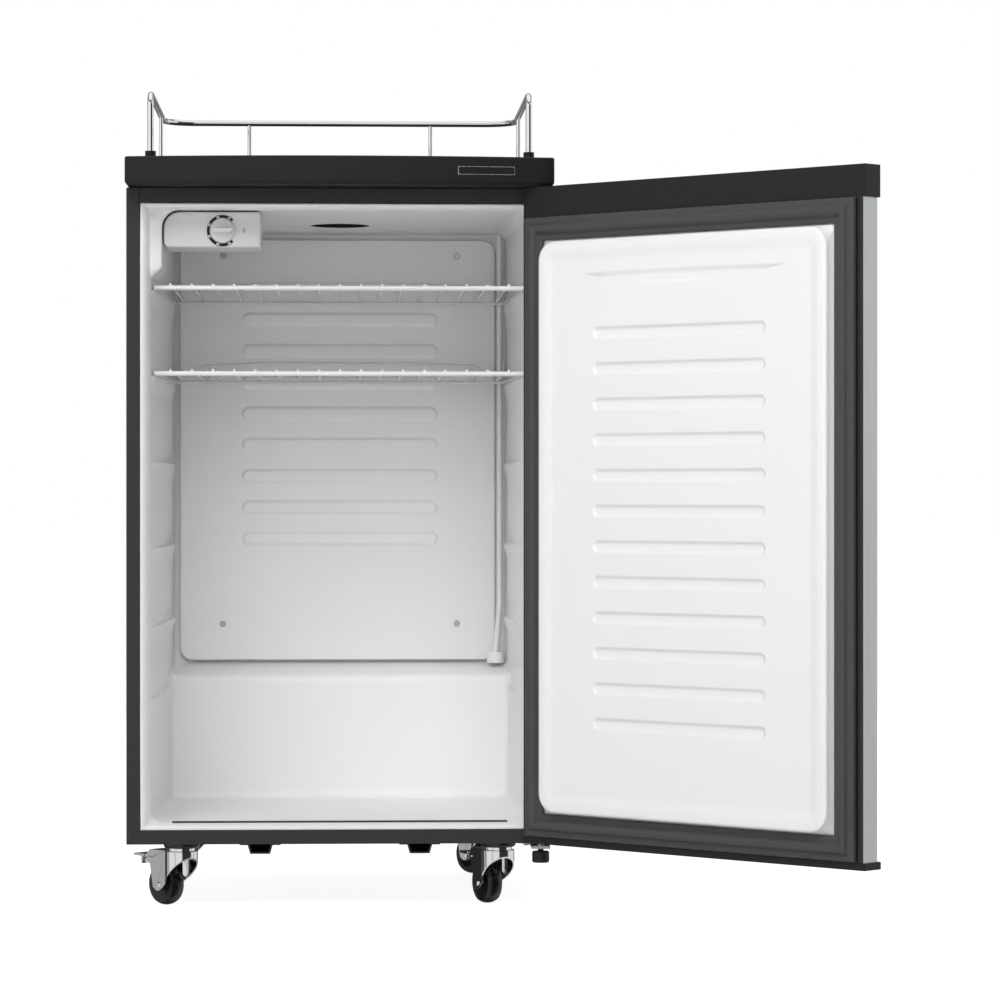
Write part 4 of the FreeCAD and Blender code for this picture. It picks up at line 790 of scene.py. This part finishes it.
def build_gasket():
    """The seal: one section, a flat band with a round ridge, carried round the door."""
    low, high = local_box("door_gasket", DOOR)
    seat = low.y + 0.05 * MM
    crest = high.y
    flat = seat + 5 * MM
    section = (  # distance in from the edge in mm, then a level and the mm above it
        (0, seat, 0), (0, seat, 2.6), (0.7, flat, -0.7), (2.0, flat, 0), (6.6, flat, -0.3),
        (8.0, flat, 0.2), (8.7, flat, 1.4), (9.3, crest, -1.6), (10.6, crest, -0.4), (12.4, crest, 0),
        (15.4, crest, -0.1),
        (17.6, crest, -0.7), (19.2, crest, -2.2), (20.2, flat, 0.2), (21.4, flat, -0.9), (23.0, flat, -0.6),
        (25.6, flat, -0.2), (27.2, flat, -0.8), (GASKET_BAND, seat, 2.2), (GASKET_BAND, seat, 0))
    tube = bmesh.new()
    rings = []
    for inset, level, above in section:
        a = inset * MM
        radius = max(0.4 * MM, 0.35 * (a - 20 * MM))  # square outside, a little rounded towards the panel
        outline = rounded(low.x + a, low.z + a, high.x - a, high.z - a, (radius,) * 4, steps=5)
        rings.append(ring(tube, [(x, level + above * MM, z) for x, z in outline]))
    for here, there in zip(rings, rings[1:] + rings[:1]):
        bridge(tube, here, there)
    add_piece("door_seal", tube, "door", ("door_gasket",), DOOR, sharp=50)


# ---- top cover ----

COVER_BOW = 22 * MM


def bow_radius(chord, bow):
    """The radius of an arc that stands out by bow over a chord."""
    return (chord * chord / 4 + bow * bow) / (2 * bow)


def bowed(left, right, front, back, bow, corner, steps=36):
    """Plan outline: front edge bowed out from front, straight sides and back, small rounded corners."""
    chord = right - left
    radius = bow_radius(chord, bow)
    middle = (left + right) / 2
    points = []
    for i in range(steps + 1):
        x = left + corner + (chord - 2 * corner) * i / steps
        points.append((x, front - bow + radius - math.sqrt(radius * radius - (x - middle) ** 2)))
    side_front = front + corner * 0.9
    return points + [
        (right - corner * 0.25, side_front - corner * 0.6), (right, side_front),
        (right, back - corner), (right - corner * 0.3, back - corner * 0.3), (right - corner, back),
        (left + corner, back), (left + corner * 0.3, back - corner * 0.3), (left, back - corner),
        (left, side_front), (left + corner * 0.25, side_front - corner * 0.6)]


def inset_plan(points, amount):
    """Moves a convex outline inward by about amount."""
    count = len(points)
    moved = []
    for i, here in enumerate(points):
        before, after = Vector(points[i - 1]), Vector(points[(i + 1) % count])
        along = (after - before).normalized()
        moved.append((here[0] - along.y * amount, here[1] + along.x * amount))
    return moved


def build_badge():
    """A blank nameplate: a thin bright rim round a dark field, bent to the cover's front."""
    low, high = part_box("badge_plate")
    cover_low, cover_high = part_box("top_cover")
    radius = bow_radius(cover_high.x - cover_low.x, COVER_BOW)
    corners = (1.2 * MM,) * 4

    def outline(inset, proud):
        points = rounded(low.x + inset, low.z + inset, high.x - inset, high.z - inset, corners, steps=5)
        full = []
        for i, (x, z) in enumerate(points):
            after = points[(i + 1) % len(points)]
            cuts = 10 if abs(after[0] - x) > 20 * MM else 1
            full += [(x + (after[0] - x) * k / cuts, z + (after[1] - z) * k / cuts) for k in range(cuts)]
        return [(x, cover_low.y + radius - math.sqrt(radius ** 2 - x ** 2) - proud, z) for x, z in full]

    rim = bmesh.new()
    profile = ((0.0, -0.02), (0.0, 0.5), (0.15, 0.75), (0.65, 0.75), (0.8, 0.5), (0.8, 0.25))
    made = loft(rim, [outline(inset * MM, proud * MM) for inset, proud in profile], start=False, end=False)
    bridge(rim, made[-1], made[0])
    add_piece("badge_rim", rim, "root", ("badge_plate",), sharp=60)
    field = bmesh.new()
    loft(field, [outline(0.7 * MM, proud * MM) for proud in (-0.02, 0.3)])
    add_piece("badge_field", field, "root", made=PRINT_BLACK)


def build_cover():
    """The black top: bowed front, soft upper edge, holes for the tower and its four screws."""
    low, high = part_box("top_cover")
    plan = bowed(low.x, high.x, low.y + COVER_BOW, high.y, COVER_BOW, 3 * MM)
    cover = bmesh.new()
    soft = 2.4 * MM
    levels = [(3.2, 0.0), (2.8, 0.0), (0.5, 3.4), (0.0, 4.2), (0.0, (high.z - low.z - soft) / MM)]
    rings = [[(x, y, low.z + up * MM) for x, y in inset_plan(plan, inset * MM)] for inset, up in levels]
    for step in range(1, 5):
        angle = math.radians(22.5 * step)
        rings.append([(x, y, high.z - soft * (1 - math.sin(angle)))
                      for x, y in inset_plan(plan, soft * (1 - math.cos(angle)))])
    made = loft(cover, rings, end=False)
    sleeve_low, sleeve_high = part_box("tower_sleeve")
    centre = (sleeve_low + sleeve_high) / 2
    holes = [(centre.x, centre.y, (sleeve_high.x - sleeve_low.x) / 2)]
    screws, screw_hole, floor = 46 * MM, 2.5 * MM, low.z + 8 * MM
    for quarter in range(4):
        angle = math.radians(45 + 90 * quarter)
        holes.append((centre.x + screws * math.cos(angle), centre.y + screws * math.sin(angle), screw_hole))
    rims = []
    for x, y, radius in holes:
        wall = [[(px, py, z) for px, py in circle(x, y, radius)] for z in (high.z, floor)]
        rims.append(loft(cover, wall, start=False)[0])
    fill_with_holes(cover, made[-1], rims)
    add_piece("cabinet_top_cover", cover, "root", ("top_cover",), sharp=28)


# ---- CAD pieces kept as they are ----


# The pieces, the width in mm of their softened edges and its segments.
SOFT_EDGES = (
    (("left_side_panel", "right_side_panel", "rear_panel"), 0.8, 3),
    (("front_frame",), 0.5, 2),
    (("door_top_cap",), 1.4, 3),
    (("door_bottom_trim",), 1.6, 3),
    (("lower_hinge_bracket", "upper_hinge_bracket"), 0.3, 2),
    (("caster_front_left_pedal", "caster_front_right_pedal"), 0.6, 2),
    (("caster_front_left_fork", "caster_front_right_fork",
      "caster_rear_left_fork", "caster_rear_right_fork"), 0.35, 2),
    (("compressor_tray", "drip_pan", "base_crossrails", "thermostat_body"), 0.6, 2),
)


def dress_cad():
    """Gives every CAD node its finish and softens the edges of those that show."""
    for name, obj in nodes.items():
        for slot in obj.material_slots:
            slot.link = "OBJECT"
            slot.material = FINISHES[slot_of[name]]
    shading = plain_shading()
    for names, width, segments in SOFT_EDGES:
        soften(names, width * MM, segments, shading)


# ---- studio ----

SKY_LEVEL = 0.1
MIRROR_LEVEL = 1.0
SKY = ((0.0, 0.5), (0.48, 0.45), (0.62, 0.55), (0.85, 0.95), (1.0, 1.0))
OVERHEAD = ((0.0, 0.9), (0.72, 0.9), (0.76, 0.1), (0.82, 0.1), (0.86, 1.0), (1.0, 1.0))
OVERHEAD_FROM = ((0.66, 0.0), (0.74, 1.0))
CARDS = ((0.0, 1.0), (0.10, 1.0), (0.13, 0.7), (0.16, 1.0), (0.259, 1.0), (0.277, 0.04), (0.44, 0.04),
         (0.47, 0.95), (0.62, 0.95), (0.66, 0.16), (0.82, 0.2), (0.85, 0.03), (0.905, 0.03),
         (0.93, 0.5), (0.985, 0.5), (1.0, 1.0))
FLOOR_REACH = 40.0
FLOOR_GLOW = (0.12, 0.9)
FLOOR_CARDS = 0.8
# Name, place, width and height, watts; all face LAMP_TARGET.
LAMPS = (("key", (-0.5, -2.8, 3.1), (3.0, 1.8), 132), ("low", (-0.3, -4.2, 0.6), (3.0, 1.2), 24),
         ("left", (-2.8, -2.4, 0.9), (1.2, 2.2), 13), ("back", (0.4, 3.4, 1.8), (2.2, 2.2), 30))
LAMP_TARGET = Vector((0.1, 0.1, 0.45))
CAMERA_PLACE = (0.0, -4.6227, 0.5044)
CAMERA_TURN = 2.378
CAMERA_LENS = 138.7
CAMERA_SHIFT = -0.0097


def ramp(tree, value, stops):
    """Grey levels along a 0 to 1 value."""
    levels = tree.nodes.new("ShaderNodeValToRGB")
    while len(levels.color_ramp.elements) < len(stops):
        levels.color_ramp.elements.new(0.5)
    for element, (position, level) in zip(levels.color_ramp.elements, stops):
        element.position = position
        element.color = (level, level, level, 1)
    tree.links.new(value, levels.inputs["Fac"])
    return levels.outputs["Color"]


def unit(tree, value):
    """Maps a direction's coordinate from -1..1 to 0..1."""
    remap = tree.nodes.new("ShaderNodeMapRange")
    remap.inputs["From Min"].default_value = -1
    tree.links.new(value, remap.inputs["Value"])
    return remap.outputs["Result"]


def cards(tree, direction):
    """White cards and black flags round the object, by the compass direction that a mirror sees."""
    turn = tree.nodes.new("ShaderNodeTexGradient")
    turn.gradient_type = "RADIAL"
    tree.links.new(direction, turn.inputs["Vector"])
    return ramp(tree, turn.outputs["Fac"], CARDS)


def build_world():
    """White to the camera, a soft sky to matt surfaces, and white cards with black flags to mirrors."""
    world = bpy.data.worlds.new("studio")
    bpy.context.scene.world = world
    world.use_nodes = True
    tree = world.node_tree
    tree.nodes.clear()
    direction = tree.nodes.new("ShaderNodeTexCoord").outputs["Generated"]
    split = tree.nodes.new("ShaderNodeSeparateXYZ")
    tree.links.new(direction, split.inputs["Vector"])
    up = unit(tree, split.outputs["Z"])
    blend = tree.nodes.new("ShaderNodeMix")
    blend.data_type = "RGBA"
    tree.links.new(ramp(tree, up, OVERHEAD_FROM), blend.inputs["Factor"])
    sideways, upward = colours(blend.inputs)
    tree.links.new(cards(tree, direction), sideways)
    tree.links.new(ramp(tree, up, OVERHEAD), upward)
    mirrored = colours(blend.outputs)[0]
    lit = []
    for color, strength in ((ramp(tree, up, SKY), SKY_LEVEL), (mirrored, MIRROR_LEVEL), (None, 1.0)):
        light = tree.nodes.new("ShaderNodeBackground")
        light.inputs["Strength"].default_value = strength
        light.inputs["Color"].default_value = (1, 1, 1, 1)
        if color:
            tree.links.new(color, light.inputs["Color"])
        lit.append(light.outputs["Background"])
    path = tree.nodes.new("ShaderNodeLightPath")
    matt, mirrors, backdrop = lit
    shown = mixed(tree, path.outputs["Is Glossy Ray"], matt, mirrors)
    shown = mixed(tree, path.outputs["Is Camera Ray"], shown, backdrop)
    out = tree.nodes.new("ShaderNodeOutputWorld")
    tree.links.new(shown, out.inputs["Surface"])


def build_floor():
    """A pale floor that glows to the camera and carries the studio's cards and flags on to mirrors."""
    mesh = bpy.data.meshes.new("floor")
    corners = [(x * FLOOR_REACH, y * FLOOR_REACH, 0) for x, y in ((-1, -1), (1, -1), (1, 1), (-1, 1))]
    mesh.from_pydata(corners, [], [(0, 1, 2, 3)])
    floor = bpy.data.objects.new("floor", mesh)
    bpy.context.scene.collection.objects.link(floor)
    made, tree, bsdf, _ = shader("floor")
    bsdf.inputs["Base Color"].default_value = (0.9, 0.9, 0.9, 1)
    bsdf.inputs["Roughness"].default_value = 0.8
    bsdf.inputs["Emission Color"].default_value = (1, 1, 1, 1)
    glow = tree.nodes.new("ShaderNodeMapRange")
    glow.inputs["To Min"].default_value, glow.inputs["To Max"].default_value = FLOOR_GLOW
    path = tree.nodes.new("ShaderNodeLightPath")
    tree.links.new(path.outputs["Is Camera Ray"], glow.inputs["Value"])
    tree.links.new(glow.outputs["Result"], bsdf.inputs["Emission Strength"])
    backwards = tree.nodes.new("ShaderNodeVectorMath")
    backwards.operation = "SCALE"
    backwards.inputs["Scale"].default_value = -1.0
    tree.links.new(tree.nodes.new("ShaderNodeNewGeometry").outputs["Incoming"], backwards.inputs[0])
    glare = tree.nodes.new("ShaderNodeEmission")
    glare.inputs["Strength"].default_value = FLOOR_CARDS
    tree.links.new(cards(tree, backwards.outputs["Vector"]), glare.inputs["Color"])
    shown = mixed(tree, path.outputs["Is Glossy Ray"], bsdf.outputs["BSDF"], glare.outputs["Emission"])
    tree.links.new(shown, tree.nodes["Material Output"].inputs["Surface"])
    paint(floor, made)


def build_lamps():
    """Soft area lamps that neither the camera nor a mirror sees."""
    for name, place, size, power in LAMPS:
        lamp = bpy.data.lights.new(name, "AREA")
        lamp.shape = "RECTANGLE"
        lamp.size, lamp.size_y = size
        lamp.energy = power
        obj = bpy.data.objects.new(name, lamp)
        obj.location = place
        obj.rotation_euler = (LAMP_TARGET - Vector(place)).to_track_quat("-Z", "Y").to_euler()
        obj.visible_camera = False
        obj.visible_glossy = False
        bpy.context.scene.collection.objects.link(obj)


def build_camera():
    """Level at the cabinet's mid height, 4.6 m in front, turned a little to the hinge side."""
    lens = bpy.data.cameras.new("camera")
    lens.lens = CAMERA_LENS
    lens.sensor_width = 36.0
    lens.shift_y = CAMERA_SHIFT
    lens.clip_start = 0.1
    lens.clip_end = 60.0
    camera = bpy.data.objects.new("camera", lens)
    camera.location = CAMERA_PLACE
    camera.rotation_euler = (math.pi / 2, 0.0, -math.radians(CAMERA_TURN))
    bpy.context.scene.collection.objects.link(camera)
    bpy.context.scene.camera = camera
    bpy.context.scene.view_settings.view_transform = "Standard"


dress_cad()
build_liner()
build_floor_seam()
build_evaporator()
build_thermostat_case()
build_dial_print()
build_dial()
build_door_liner()
build_gasket()
build_cover()
build_badge()
build_world()
build_floor()
build_lamps()
build_camera()
